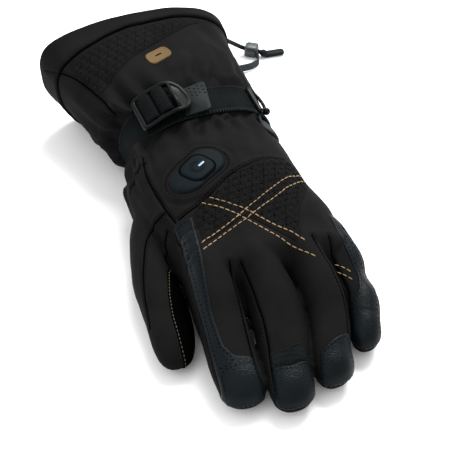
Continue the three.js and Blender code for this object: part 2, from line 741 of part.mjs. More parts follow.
for (let i = 0; i < slotEdges.length; i += 2) {
  const slot = block(slotEdges[i], slotEdges[i + 1], -slotHalf, slotHalf, -BUCKLE_LENGTH, BUCKLE_LENGTH);
  buckle = buckle.subtract(slot);
}
buckle = buckle
  .subtract(widthwise(spread(slotFrom, slotTo, 6), BAR_SUNK, BUCKLE_LENGTH, 2 * slotHalf))
  .subtract(widthwise(spread(slotTo, BUCKLE_LENGTH, 4), BUCKLE_LENGTH, -BUCKLE_PLATE, 2 * slotHalf));

// Webbing threaded over the two bars, as a wave along the strap
const reach = BAR_WIDTH / 2 + GAP + WEBBING / 2;
const shoulder = 1.2;
const seat = 2 * GAP + WEBBING / 2 - BAR_SUNK;
const overBar = (x) => [
  [x - reach, bowAt(x - reach) + seat - shoulder],
  [x - reach + shoulder, bowAt(x - reach + shoulder) + seat],
  [x + reach - shoulder, bowAt(x + reach - shoulder) + seat],
  [x + reach, bowAt(x + reach) + seat - shoulder],
];
const betweenBars = (bars[0] + bars[1]) / 2;
const wave = [
  [bars[0] - reach - 1.6, -9],
  [bars[0] - reach - 0.9, -4],
  [bars[0] - reach - 0.3, -1],
  ...overBar(bars[0]),
  [betweenBars, bowAt(betweenBars) - 3],
  ...overBar(bars[1]),
  [bars[1] + reach + 0.5, bowAt(bars[1]) - 4],
  [bars[1] + reach + 1.2, -0.5],
].map(([x, z]) => new THREE.Vector2(x, z));
const waveOutline = ribbonOutline(wave, WEBBING).map((point) => [point.x, point.y]);
const threaded = acrossStrap(waveOutline, WEBBING_WIDTH);

// Thumb tab under the rounded end, longer on its far side
const tabFrom = 0.8 * BUCKLE_LENGTH;
const tabNear = tabFrom + TAB_LENGTH;
const tabFar = tabNear + TAB_SLANT;
const tabHalf = TAB_WIDTH / 2;
const tabShape = new THREE.Shape();
tabShape.moveTo(tabFrom, -0.9 * tabHalf);
tabShape.lineTo(tabNear - 3, -tabHalf);
tabShape.quadraticCurveTo(tabNear, -tabHalf, tabNear, 3 - tabHalf);
tabShape.lineTo(tabFar, tabHalf - 3);
tabShape.quadraticCurveTo(tabFar, tabHalf, tabFar - 3, tabHalf);
tabShape.lineTo(tabFrom, 0.9 * tabHalf);
const tab = solidFrom(upright(tabShape.getPoints(4), TAB_UP - TAB_PLATE, TAB_UP));

// Hook beside the strap: a bar across the webbing, an arch and a knob
const hookSeat = GAP + WEBBING + GAP + HOOK_WIRE / 2;
const hookFar = pointOn(body, STRAP_MIDDLE + 0.033, radians(43), hookSeat);
const hookNear = pointOn(body, STRAP_MIDDLE - 0.04, radians(40), hookSeat);
const hookAway = new THREE.Vector3(0.82, 0, -0.57);
const archPoint = (share, out) => hookFar.clone().lerp(hookNear, share).addScaledVector(hookAway, out);
const arch = new THREE.CatmullRomCurve3([
  archPoint(0.06, 0),
  archPoint(0.1, 3),
  archPoint(0.32, 6.2),
  archPoint(0.6, 6.8),
  archPoint(0.8, 5.2),
  archPoint(0.92, 0),
]);
const knob = new THREE.SphereGeometry(HOOK_WIRE, 7, 5).translate(...archPoint(0.88, 6).toArray());
solids.strap_hook = tubeAlong(new THREE.LineCurve3(hookFar, hookNear), HOOK_WIRE, 1)
  .add(tubeAlong(arch, HOOK_WIRE, 9))
  .add(solidFrom(knob));
const hookTape = [
  [0.345, 0.656],
  [0.4, 0.656],
  [0.43, 0.615],
  [0.375, 0.615],
];
solids.hook_webbing = bodyAt(GAP + WEBBING)
  .subtract(bodyAt(GAP))
  .intersect(planPrism(hookTape, 0, PALM_HEIGHT / 2, FULL))
  .subtract(bodyAt(2 * GAP + WEBBING).intersect(besideStrap));

// Drawcord of the hem, laid on the surface beside the cuff: across and along as shares of
// the palm's width and the glove's length, and height in millimetres
const CORD_ROWS = [
  [0.472, 1.0028, 38],
  [0.477, 1.0156, 37.4],
  [0.504, 1.0344, 33],
  [0.554, 1.0516, 26],
  [0.617, 1.0713, 17.5],
  [0.675, 1.0916, 9.4],
  [0.717, 1.0978, 5],
  [0.758, 1.0891, 4],
  [0.788, 1.0806, 3.7],
  [0.818, 1.0719, 3.2],
];
const cordPoints = CORD_ROWS.map(([x, y, z]) => new THREE.Vector3(x * PALM_WIDTH, y * GLOVE_LENGTH, z));
const cordCurve = new THREE.CatmullRomCurve3(cordPoints);
solids.drawcord = tubeAlong(cordCurve, CORD, CORD_STEPS);
const cordSleeve = tubeAlong(cordCurve, CORD + 2 * GAP, CORD_STEPS);
const lockWay = cordPoints[8].clone().sub(cordPoints[6]);
function lockBox(margin) {
  const box = new THREE.BoxGeometry(LOCK_LENGTH + 2 * margin, LOCK_WIDTH + 2 * margin, LOCK_HEIGHT + 2 * margin);
  box.rotateZ(Math.atan2(lockWay.y, lockWay.x));
  return solidFrom(box.translate(cordPoints[7].x, cordPoints[7].y, GAP + LOCK_HEIGHT / 2));
}
solids.cord_lock = lockBox(0).subtract(cordSleeve);
const pullAt = cordPoints[9];
const ball = new THREE.SphereGeometry(PULL_BALL / 2, 8, 6).translate(pullAt.x, pullAt.y, PULL_BALL / 2 + GAP);
const pullPlate = new THREE.BoxGeometry(PULL_LENGTH, PULL_WIDTH, PULL_PLATE);
pullPlate.translate(PULL_LENGTH / 2, 0, PULL_PLATE / 2 + 2 * GAP).rotateZ(radians(PULL_TURN));
pullPlate.translate(pullAt.x, pullAt.y, 0);
solids.cord_pull = solidFrom(ball).add(solidFrom(pullPlate)).subtract(cordSleeve);

// Ribbon between the cuff and the cord lock, standing on its edge: across and along, in the same shares
const RIBBON_ROWS = [
  [0.322, 1.0009],
  [0.330, 1.0094],
  [0.375, 1.0203],
  [0.458, 1.0281],
  [0.550, 1.0312],
  [0.629, 1.0312],
  [0.696, 1.0319],
  [0.752, 1.0419],
  [0.772, 1.0594],
  [0.767, 1.0781],
];
const ribbonPoints = RIBBON_ROWS.map(([x, y]) => new THREE.Vector3(x * PALM_WIDTH, y * GLOVE_LENGTH, 0));
const ribbonPath = new THREE.CatmullRomCurve3(ribbonPoints).getPoints(18).map((p) => new THREE.Vector2(p.x, p.y));
solids.ribbon_tether = solidFrom(upright(ribbonOutline(ribbonPath, RIBBON), GAP, GAP + RIBBON_WIDTH))
  .subtract(lockBox(GAP))
  .subtract(bodyAt(HEM_PROUD + GAP).intersect(slab(0, GLOVE_LENGTH + GAP)));

// Colours and finishes
const CLOTH = { color: 0x242323, roughness: 0.92, metalness: 0 };
const HIDE = { color: 0x263034, roughness: 0.55, metalness: 0 };
const TAPE = { color: 0x20282a, roughness: 0.85, metalness: 0 };
const MOULDED = { color: 0x15181b, roughness: 0.4, metalness: 0 };
const FINISHES = {
  hand_back: CLOTH,
  hand_palm: CLOTH,
  index_stall: CLOTH,
  middle_stall: CLOTH,
  ring_stall: CLOTH,
  little_stall: CLOTH,
  thumb_stall: CLOTH,
  cuff_shell: CLOTH,
  cuff_hem: CLOTH,
  knuckle_panel: { color: 0x1c1c1d, roughness: 0.95, metalness: 0 },
  cuff_panel: { color: 0x1c1c1d, roughness: 0.95, metalness: 0 },
  index_leather: HIDE,
  middle_leather_tip: HIDE,
  ring_leather_tip: HIDE,
  little_leather: HIDE,
  thumb_leather: { color: 0x141516, roughness: 0.6, metalness: 0 },
  middle_ribbed_band: { color: 0x1a1f21, roughness: 0.95, metalness: 0 },
  wrist_strap: TAPE,
  threaded_webbing: TAPE,
  hook_webbing: TAPE,
  buckle: MOULDED,
  buckle_tab: { color: 0x3c4446, roughness: 0.5, metalness: 0 },
  strap_hook: MOULDED,
  cuff_badge: { color: 0xa8834f, roughness: 0.5, metalness: 0 },
  button_housing: { color: 0x22303a, roughness: 0.5, metalness: 0 },
  power_button: { color: 0x1d2a33, roughness: 0.45, metalness: 0 },
  button_light: { color: 0x7c9fc0, roughness: 0.3, metalness: 0 },
  drawcord: { color: 0x17191a, roughness: 0.9, metalness: 0 },
  cord_lock: MOULDED,
  cord_pull: { color: 0x34393b, roughness: 0.5, metalness: 0 },
  ribbon_tether: { color: 0x4a5153, roughness: 0.8, metalness: 0 },
};
const ON_THE_CORD = ["drawcord", "cord_lock", "cord_pull", "ribbon_tether"];

const glove = new THREE.Group();
function addPiece(name, solid, parent) {
  const mesh = new THREE.Mesh(geometryFrom(largest(solid)), new THREE.MeshStandardMaterial(FINISHES[name]));
  mesh.name = name;
  parent.add(mesh);
}
for (const [name, solid] of Object.entries(solids)) addPiece(name, solid, glove);

addPiece("buckle", buckle.subtract(underBuckle), buckleGroup);
addPiece("threaded_webbing", threaded.subtract(underBuckle), buckleGroup);
addPiece("buckle_tab", tab.subtract(underBuckle), buckleGroup);
glove.add(buckleGroup);

// The glove stands with the middle of its underside at the origin
glove.updateMatrixWorld(true);
const bounds = new THREE.Box3();
glove.traverse((piece) => {
  if (piece.isMesh && !ON_THE_CORD.includes(piece.name)) bounds.expandByObject(piece);
});
const middle = bounds.getCenter(new THREE.Vector3());
glove.position.set(-middle.x, -middle.y, -bounds.min.z);
const root = new THREE.Group();
root.add(glove);

export default root;
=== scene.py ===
"""Looks of a padded ski glove with a heater button, palm down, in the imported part's frame."""

import math

import bpy
import numpy as np
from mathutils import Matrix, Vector, noise
from mathutils.bvhtree import BVHTree
from mathutils.kdtree import KDTree


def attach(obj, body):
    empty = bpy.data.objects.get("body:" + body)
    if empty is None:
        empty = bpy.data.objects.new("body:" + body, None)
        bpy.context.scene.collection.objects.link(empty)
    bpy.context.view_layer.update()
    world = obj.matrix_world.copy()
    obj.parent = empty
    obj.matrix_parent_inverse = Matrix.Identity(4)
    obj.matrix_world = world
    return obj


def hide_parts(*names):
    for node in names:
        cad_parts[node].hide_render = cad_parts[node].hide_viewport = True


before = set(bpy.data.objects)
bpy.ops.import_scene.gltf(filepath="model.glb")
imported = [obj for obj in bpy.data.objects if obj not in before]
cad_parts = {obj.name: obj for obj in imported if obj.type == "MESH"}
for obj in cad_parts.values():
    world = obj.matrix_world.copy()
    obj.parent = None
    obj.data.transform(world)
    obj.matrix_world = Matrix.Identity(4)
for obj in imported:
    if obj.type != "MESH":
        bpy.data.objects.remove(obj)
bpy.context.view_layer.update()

# Sizes in millimetres, as in the part's source
LENGTH = 320.0
WIDTH = 120.0
HEIGHT = 60.0
STRAP_WIDTH = 25.0
STRAP_THICK = 1.8
STRAP_GAP = 0.3
MM = 0.001
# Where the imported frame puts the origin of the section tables
SHIFT = np.array([7.0038, -160.2999, 0.0])
# Middle of the wrist strap, as a share along, and the outside of the strap over the cloth
STRAP_MIDDLE = 0.698
STRAP_TOP = STRAP_GAP + STRAP_THICK
# Where the cuff is cut off level
MOUTH = LENGTH - 1.2
# A height over everything, from which rays are cast down
ABOVE = 300.0
# Smallest length that anything is divided by, and smallest distance kept from a level
TINY = 1e-9
NEAR_LEVEL = 1e-7
# Columns of a row of the skin: point 0 to 2, normal 3 to 5, then the values that come along
VALUE = 6

# Body sections: share along, centre and half width as shares of the palm's width,
# low and high as shares of its height, and the squareness of the oval
BODY_ROWS = [
    [0.255, 0.045, 0.4, 0.12, 0.9, 2.3],
    [0.312, 0.045, 0.42, 0.06, 0.94, 2.4],
    [0.375, 0.04, 0.44, 0, 0.98, 2.4],
    [0.42, 0.017, 0.448, -0.02, 1.0, 2.4],
    [0.453, -0.005, 0.447, -0.04, 1.03, 2.5],
    [0.547, -0.015, 0.447, -0.04, 1.06, 2.5],
    [0.61, -0.008, 0.435, -0.03, 1.06, 2.4],
    [0.64, 0, 0.412, 0.03, 1.05, 2.4],
    [0.655, 0.05, 0.365, 0.1, 1.03, 2.5],
    [0.738, 0.035, 0.39, 0.1, 1.06, 2.5],
    [0.752, 0.02, 0.42, 0.05, 1.1, 2.4],
    [0.775, 0, 0.455, 0, 1.15, 2.4],
    [0.813, -0.015, 0.475, -0.04, 1.18, 2.4],
    [0.89, -0.045, 0.505, -0.05, 1.22, 2.5],
    [1.0, -0.065, 0.545, -0.05, 1.25, 2.6],
]
FINGER_ROWS = {
    "index": [
        [0.037, -0.322, 0.11, 0.03, 0.36, 2.2],
        [0.07, -0.323, 0.113, 0.04, 0.42, 2.2],
        [0.125, -0.318, 0.118, 0.06, 0.52, 2.2],
        [0.2, -0.297, 0.12, 0.1, 0.68, 2.2],
        [0.28, -0.28, 0.115, 0.12, 0.86, 2.5],
        [0.36, -0.26, 0.12, 0.14, 0.95, 2.8],
    ],
    "middle": [
        [0.001, -0.115, 0.105, 0.03, 0.34, 2.2],
        [0.037, -0.103, 0.11, 0.03, 0.4, 2.2],
        [0.08, -0.085, 0.118, 0.05, 0.48, 2.2],
        [0.126, -0.058, 0.13, 0.08, 0.58, 2.2],
        [0.174, -0.036, 0.132, 0.12, 0.7, 2.2],
        [0.213, -0.03, 0.128, 0.13, 0.8, 2.2],
        [0.28, -0.045, 0.114, 0.14, 0.92, 2.5],
        [0.36, -0.05, 0.12, 0.16, 0.97, 2.8],
    ],
    "ring": [
        [0.03, 0.12, 0.1, 0.03, 0.36, 2.2],
        [0.065, 0.135, 0.102, 0.03, 0.4, 2.2],
        [0.09, 0.15, 0.104, 0.05, 0.46, 2.2],
        [0.142, 0.194, 0.107, 0.08, 0.58, 2.2],
        [0.18, 0.214, 0.107, 0.12, 0.7, 2.2],
        [0.21, 0.216, 0.107, 0.13, 0.78, 2.2],
        [0.25, 0.203, 0.108, 0.14, 0.86, 2.2],
        [0.29, 0.184, 0.107, 0.15, 0.92, 2.5],
        [0.36, 0.16, 0.12, 0.16, 0.96, 2.8],
    ],
    "little": [
        [0.094, 0.355, 0.08, 0.03, 0.34, 2.2],
        [0.12, 0.372, 0.08, 0.03, 0.38, 2.2],
        [0.153, 0.396, 0.083, 0.05, 0.44, 2.2],
        [0.195, 0.42, 0.09, 0.07, 0.52, 2.2],
        [0.253, 0.418, 0.098, 0.1, 0.62, 2.2],
        [0.29, 0.405, 0.106, 0.11, 0.7, 2.2],
        [0.33, 0.386, 0.112, 0.12, 0.78, 2.3],
        [0.37, 0.35, 0.11, 0.14, 0.8, 2.4],
    ],
    "thumb": [
        [0.17, -0.55, 0.09, 0.05, 0.3, 2.2],
        [0.2, -0.54, 0.095, 0.05, 0.36, 2.2],
        [0.24, -0.527, 0.107, 0.03, 0.43, 2.2],
        [0.3, -0.51, 0.11, 0.02, 0.5, 2.2],
        [0.363, -0.503, 0.107, 0.01, 0.56, 2.2],
        [0.42, -0.472, 0.107, 0.01, 0.62, 2.2],
        [0.49, -0.415, 0.115, 0.01, 0.66, 2.2],
        [0.56, -0.34, 0.09, 0.04, 0.62, 2.2],
    ],
}
# Dents: along, turn round the tube and spread in degrees, length, and height as a share of HEIGHT
FOLD_ROWS = [
    [1.0, 150, 0.1, 22, 0.06],
    [1.0, 205, 0.06, 25, -0.06],
    [0.89, 205, 0.09, 28, -0.09],
    [1.0, 38, 0.08, 22, 0.02],
]
# Gathers: along, length, pleats round the tube, turn in degrees and height as a share of HEIGHT
GATHER_ROWS = [
    [0.636, 0.016, 8, 12, 0.022],
    [0.764, 0.02, 8, 4, 0.03],
]
BODY = {"rows": BODY_ROWS, "tip": 0.035, "blunt": 0.33, "gathers": GATHER_ROWS}
FINGERS = {
    name: {"rows": rows, "tip": 0.04, "blunt": 0.37, "gathers": None} for name, rows in FINGER_ROWS.items()
}
NAMES = list(FINGERS)

# Outlines seen from above: across as a share of the palm's width, along as a share of the length
INDEX_STRIP = [
    [-0.47, 0.09], [-0.2, 0.09], [-0.235, 0.1], [-0.33, 0.106], [-0.362, 0.13], [-0.358, 0.19],
    [-0.335, 0.246], [-0.305, 0.303], [-0.288, 0.35], [-0.26, 0.405], [-0.36, 0.405], [-0.47, 0.3],
]
LITTLE_STRIP = [
    [0.6, 0.18], [0.6, 0.4], [0.42, 0.395], [0.41, 0.34], [0.412, 0.3], [0.422, 0.25], [0.432, 0.18],
]
LITTLE_TIP = [[0.2, 0.0], [0.6, 0.0], [0.6, 0.21], [0.435, 0.225], [0.4, 0.185], [0.33, 0.166], [0.2, 0.16]]
THUMB_PATCH = [
    [-0.3, 0.14], [-0.3, 0.36], [-0.44, 0.36], [-0.49, 0.3], [-0.518, 0.25], [-0.53, 0.19], [-0.53, 0.14],
]
KNUCKLE_PANEL = [
    [-0.28, 0.322], [-0.025, 0.36], [0.1, 0.296], [0.16, 0.27], [0.215, 0.3], [0.25, 0.345], [0.38, 0.415],
    [0.4, 0.45], [0.37, 0.5], [0.19, 0.494], [0.026, 0.473], [-0.083, 0.448], [-0.2, 0.424],
    [-0.25, 0.408], [-0.27, 0.36],
]
CUFF_PANEL = [
    [-0.5, 0.925], [-0.49, 0.887], [-0.414, 0.805], [-0.302, 0.833], [-0.172, 0.862], [-0.016, 0.886],
    [0.2, 0.93], [0.33, 0.955], [0.15, 0.957], [-0.13, 0.951], [-0.42, 0.926],
]
HEM_EDGE = [[-0.8, 0.925], [-0.5, 0.931], [-0.13, 0.961], [0.16, 0.968], [0.8, 0.968]]

# Camera at the photo's angle: place in millimetres, the way it looks, lens and sensor in millimetres
CAMERA_AT = (-264.394, -739.923, 688.183)
CAMERA_LOOK = (0.26235, 0.71277, -0.65049)
LENS = 131.2
SENSOR = 36.0


def aim(thing, way):
    """Turns a camera or a lamp to look along a way."""
    thing.rotation_euler = Vector(way).to_track_quat("-Z", "Y").to_euler()


def add_camera():
    camera = bpy.data.objects.new("camera", bpy.data.cameras.new("camera"))
    bpy.context.scene.collection.objects.link(camera)
    camera.location = Vector(CAMERA_AT) * MM
    aim(camera, CAMERA_LOOK)
    camera.data.lens = LENS
    camera.data.sensor_width = SENSOR
    camera.data.clip_start = 0.01
    camera.data.clip_end = 20.0
    bpy.context.scene.camera = camera


add_camera()


# Shapes of the tube and the fingers
def columns_at(rows, along):
    """All columns of a section table at places between its rows, smooth and without overshoot."""
    rows = np.array(rows, float)
    places = rows[:, 0]
    at = np.clip(along, places[0], places[-1])
    i = np.clip(np.searchsorted(places, at, side="left") - 1, 0, len(rows) - 2)
    slopes = (rows[1:] - rows[:-1]) / (places[1:] - places[:-1])[:, None]
    before, after = slopes[:-1], slopes[1:]
    total = np.where(before + after == 0, 1, before + after)
    inner = np.where(before * after <= 0, 0, 2 * before * after / total)
    tangents = np.vstack([slopes[:1], inner, slopes[-1:]])
    span = places[i + 1] - places[i]
    t = ((at - places[i]) / span)[:, None]
    span = span[:, None]
    return (
        (2 * t**3 - 3 * t**2 + 1) * rows[i]
        + (t**3 - 2 * t**2 + t) * span * tangents[i]
        + (3 * t**2 - 2 * t**3) * rows[i + 1]
        + (t**3 - t**2) * span * tangents[i + 1]
    )


def fold_height(along, angle, gathers):
    height = np.zeros_like(along)
    for place, turn, length, wide, tall in FOLD_ROWS:
        off = angle - math.radians(turn)
        across = np.arctan2(np.sin(off), np.cos(off)) / math.radians(wide)
        height += tall * HEIGHT * np.exp(-(across**2) - ((along - place) / length) ** 2)
    for place, length, pleats, turn, tall in gathers:
        shape = np.cos(pleats * (angle - math.radians(turn)))
        height += tall * HEIGHT * np.exp(-(((along - place) / length) ** 2)) * shape
    return height


def signed_power(value, power):
    return np.sign(value) * np.abs(value) ** power


def points_on(form, along, angle, offset=0.0):
    """Points of a form at places along it and angles round it, at an offset from its surface."""
    along, angle = np.broadcast_arrays(np.asarray(along, float), np.asarray(angle, float))
    shape = along.shape
    along, angle = along.ravel(), angle.ravel()
    _, centre, half, low, high, square = columns_at(form["rows"], along).T
    fold = fold_height(along, angle, form["gathers"]) if form["gathers"] is not None else 0
    short = 1 - np.clip((along - form["rows"][0][0]) / form["tip"], 0, 1)
    scale = (1 - short**2) ** form["blunt"]
    wide = (half * WIDTH + offset + fold) * scale
    tall = ((high - low) * HEIGHT / 2 + offset + fold) * scale
    x = centre * WIDTH + wide * signed_power(np.cos(angle), 2 / square)
    z = (low + high) * HEIGHT / 2 + tall * signed_power(np.sin(angle), 2 / square)
    z = np.maximum(z, max(-offset, 0))
    y = along * LENGTH - short * offset
    return np.stack([x, y, z], axis=1).reshape(*shape, 3)


def even_turns(count):
    return np.arange(count) / count * 2 * math.pi


def ring_faces(rings, sides, ends="capped"):
    """Faces from ring to ring. The ends are "capped", "last capped", "open" or "joined" to each other."""
    faces = []
    for i in range(rings if ends == "joined" else rings - 1):
        n = (i + 1) % rings
        for j in range(sides):
            k = (j + 1) % sides
            faces.append((i * sides + j, i * sides + k, n * sides + k, n * sides + j))
    if ends == "capped":
        faces.append(tuple(reversed(range(sides))))
    if "capped" in ends:
        faces.append(tuple(range((rings - 1) * sides, rings * sides)))
    return faces


def flipped(faces):
    return [(a, d, c, b) for a, b, c, d in faces]


def closed_loft(form, places, sides):
    """Vertices and faces of a closed solid of a form."""
    rings = points_on(form, places[:, None], even_turns(sides)[None, :])
    return rings.reshape(-1, 3), ring_faces(len(places), sides)


def tip_places(form, end, step):
    start = form["rows"][0][0]
    turns = (np.arange(10) + 0.3) / 10 * math.pi / 2
    rounded = start + form["tip"] * (1 - np.cos(turns))
    straight = np.arange(start + form["tip"], end, step)
    return np.concatenate([rounded, straight, [end]])


def in_mm(rows):
    """Points in millimetres from shares across and along, with or without a height in millimetres."""
    rows = np.array(rows, float)
    return rows * np.array([WIDTH, LENGTH, 1.0])[: rows.shape[1]]


def place_in_oval(rows, points):
    """Points as shares of the half width and the half height of the section at their place along."""
    _, centre, half, low, high, _ = columns_at(rows, points[:, 1] / LENGTH).T
    wide = (points[:, 0] - centre * WIDTH) / (half * WIDTH)
    tall = (points[:, 2] - (low + high) * HEIGHT / 2) / ((high - low) * HEIGHT / 2)
    return wide, tall


# Meshes and pieces
def add_mesh(name, verts, faces, cloth=None, uvs=None):
    """An object from points in millimetres in the section tables' own frame."""
    mesh = bpy.data.meshes.new(name)
    placed = (np.asarray(verts, float) + SHIFT) * MM
    mesh.from_pydata(placed.tolist(), [], [tuple(int(i) for i in face) for face in faces])
    if uvs is not None:
        layer = mesh.uv_layers.new(name="along_across")
        corners = np.zeros(len(mesh.loops), dtype=np.int32)
        mesh.loops.foreach_get("vertex_index", corners)
        layer.data.foreach_set("uv", np.asarray(uvs, np.float32)[corners].ravel())
    mesh.polygons.foreach_set("use_smooth", [True] * len(mesh.polygons))
    mesh.validate()
    mesh.update()
    made = bpy.data.objects.new(name, mesh)
    bpy.context.scene.collection.objects.link(made)
    if cloth is not None:
        mesh.materials.append(cloth)
    return made


def add_piece(name, solid, cloth, nodes=(), uvs=None):
    """A piece of the visual from vertices and faces and the nodes that it replaces."""
    piece = add_mesh(name, *solid, cloth, uvs)
    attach(piece, "root")
    if nodes:
        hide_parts(*nodes)
    return piece


def unit(rows):
    return rows / np.maximum(np.linalg.norm(rows, axis=1, keepdims=True), TINY)


def normals_of(points, tris):
    corner = points[tris]
    face = np.cross(corner[:, 1] - corner[:, 0], corner[:, 2] - corner[:, 0])
    total = np.zeros_like(points)
    for k in range(3):
        for axis in range(3):
            total[:, axis] += np.bincount(tris[:, k], face[:, axis], len(points))
    return unit(total)


def smoothed(points, tris, rounds, weights=(0.5, -0.52)):
    edges = np.sort(np.concatenate([tris[:, [0, 1]], tris[:, [1, 2]], tris[:, [2, 0]]]), axis=1)
    a, b = np.unique(edges, axis=0).T
    count = len(points)
    near = np.bincount(np.concatenate([a, b]), minlength=count)[:, None]
    for _ in range(rounds):
        for weight in weights:
            total = np.zeros_like(points)
            for axis in range(points.shape[1]):
                column = points[:, axis]
                total[:, axis] = np.bincount(a, column[b], count) + np.bincount(b, column[a], count)
            points = points + weight * (total / np.maximum(near, 1) - points)
    return points


def surface_of(points, tris):
    return BVHTree.FromPolygons([Vector(p) for p in points], tris.tolist())


def from_above(surface, x, y):
    """Where a ray straight down meets a surface, with the normal there, or None for a miss."""
    hit, normal, _, _ = surface.ray_cast(Vector((x, y, ABOVE)), Vector((0, 0, -1)))
    return hit, normal


def tree_of(points):
    tree = KDTree(len(points))
    for k, point in enumerate(points):
        tree.insert(Vector(point), k)
    tree.balance()
    return tree


def level_sides(table, tris, column, level):
    """Height of each row over a level, which rows are above it, and how many corners of each triangle are."""
    value = table[:, column] - level
    value = np.where(np.abs(value) < NEAR_LEVEL, NEAR_LEVEL, value)
    side = value > 0
    return value, side, side[tris].sum(axis=1)


def crossing_row(table, value, low, high):
    share = value[low] / (value[low] - value[high])
    return table[low] + share * (table[high] - table[low])


def split_at(table, tris, column, level):
    """Cuts the triangles that cross a level of one column; every column is carried on to the new points."""
    value, side, count = level_sides(table, tris, column, level)
    crosses = (count == 1) | (count == 2)
    extra, made, pieces = [], {}, []

    def between(i, j):
        key = (min(i, j), max(i, j))
        if key not in made:
            made[key] = len(table) + len(extra)
            extra.append(crossing_row(table, value, *key))
        return made[key]

    for a, b, c in tris[crosses].tolist():
        if side[b] != side[a] and side[b] != side[c]:
            a, b, c = b, c, a
        elif side[c] != side[a] and side[c] != side[b]:
            a, b, c = c, a, b
        ab, ac = between(a, b), between(a, c)
        pieces += [(a, ab, ac), (ab, b, c), (ab, c, ac)]
    if not extra:
        return table, tris
    return np.vstack([table, np.array(extra)]), np.vstack([tris[~crosses], np.array(pieces, int)])


def keep_above(table, tris, column, level=0.0):
    """The part of a mesh where a column is above a level, cut cleanly along it."""
    near = (table[tris, column] > level).any(axis=1)
    table, tris = split_at(table, tris[near], column, level)
    tris = tris[table[tris, column].mean(axis=1) > level]
    used, flat = np.unique(tris, return_inverse=True)
    return table[used], flat.reshape(-1, 3)


def contour_lines(table, tris, column, level):
    """Chains of rows along a level of one column."""
    value, side, count = level_sides(table, tris, column, level)
    rows, links = {}, {}
    for a, b, c in tris[(count == 1) | (count == 2)].tolist():
        ends = [(min(i, j), max(i, j)) for i, j in ((a, b), (b, c), (c, a)) if side[i] != side[j]]
        for key, other in (ends, ends[::-1]):
            rows[key] = crossing_row(table, value, *key)
            links.setdefault(key, []).append(other)
    chains, seen = [], set()
    for start in sorted(rows, key=lambda key: (len(links[key]) != 1, key)):
        if start in seen:
            continue
        chain, here = [], start
        while here is not None:
            seen.add(here)
            chain.append(rows[here])
            here = next((key for key in links[here] if key not in seen), None)
        if len(links[start]) == 2 and len(chain) > 3:
            chain.append(chain[0])
        chains.append(np.array(chain))
    return chains


def inside_distance(points, outline):
    """Signed distance in millimetres to an outline in plan, positive inside it."""
    corners = in_mm(outline)
    flat = points[:, :2]
    best = np.full(len(flat), 1e9)
    inside = np.zeros(len(flat), bool)
    for a, b in zip(corners, np.roll(corners, -1, axis=0)):
        along = b - a
        share = np.clip(((flat - a) @ along) / (along @ along), 0, 1)
        best = np.minimum(best, np.linalg.norm(flat - a - share[:, None] * along, axis=1))
        if a[1] != b[1]:
            crossing = (a[1] > flat[:, 1]) != (b[1] > flat[:, 1])
            reach = a[0] + (flat[:, 1] - a[1]) / (b[1] - a[1]) * (b[0] - a[0])
            inside ^= crossing & (flat[:, 0] < reach)
    return np.where(inside, best, -best)


def steady_line(rows, at):
    rows = np.array(rows, float)
    return np.interp(at, rows[:, 0], rows[:, 1])


# Lines, and solids along them
def travel_along(points):
    """Distance along a line at each of its points."""
    return np.concatenate([[0], np.cumsum(np.linalg.norm(np.diff(points, axis=0), axis=1))])


def resampled(points, step):
    points = np.asarray(points, float)
    travel = travel_along(points[:, :3])
    count = max(2, int(round(travel[-1] / step)) + 1)
    at = np.linspace(0, travel[-1], count)
    return np.stack([np.interp(at, travel, column) for column in points.T], axis=1)


def averaged(rows, rounds):
    """Rows eased towards their neighbours, with both ends kept."""
    rows = rows.copy()
    for _ in range(rounds):
        rows[1:-1] = (rows[:-2] + rows[1:-1] + rows[2:]) / 3
    return rows


def runs_of(rows, good):
    """The rows cut into unbroken runs of good ones. The last run is cut off by the end of the rows."""
    runs = [[]]
    for row, kept in zip(rows, good):
        if kept:
            runs[-1].append(row)
        else:
            runs.append([])
    return runs


def curve_through(points, steps):
    """A smooth line through points, as a Catmull-Rom curve."""
    points = np.asarray(points, float)
    padded = np.vstack([2 * points[0] - points[1], points, 2 * points[-1] - points[-2]])
    out = []
    for i in range(1, len(padded) - 2):
        p0, p1, p2, p3 = padded[i - 1 : i + 3]
        for t in np.arange(steps) / steps:
            out.append(
                0.5 * (2 * p1 + (p2 - p0) * t + (2 * p0 - 5 * p1 + 4 * p2 - p3) * t**2
                       + (3 * p1 - p0 - 3 * p2 + p3) * t**3)
            )
    out.append(points[-1])
    return np.array(out)


def steady_ups(ahead):
    """An up direction at each place of a path, carried along it without a twist."""
    ups = np.zeros_like(ahead)
    up = np.array([0.0, 0.0, 1.0])
    if abs(ahead[0] @ up) > 0.9:
        up = np.array([1.0, 0.0, 0.0])
    for i, way in enumerate(ahead):
        up = up - way * (up @ way)
        up /= np.linalg.norm(up)
        ups[i] = up
    return ups


def swept(path, section, closed=False, ups=None):
    """Vertices and faces of a section swept along a path: section columns are sideways and up."""
    path = np.asarray(path, float)
    ahead = np.gradient(path, axis=0)
    if closed:
        ahead = np.roll(path, -1, axis=0) - np.roll(path, 1, axis=0)
    ahead = unit(ahead)
    side = unit(np.cross(ahead, steady_ups(ahead) if ups is None else ups))
    upwards = np.cross(side, ahead)
    across, up = np.asarray(section, float).T[:, None, :, None]
    verts = path[:, None] + side[:, None] * across + upwards[:, None] * up
    return verts.reshape(-1, 3), ring_faces(len(path), len(section), "joined" if closed else "capped")


def round_section(radius, sides):
    turn = even_turns(sides)
    return np.stack([np.cos(turn) * radius, np.sin(turn) * radius], axis=1)


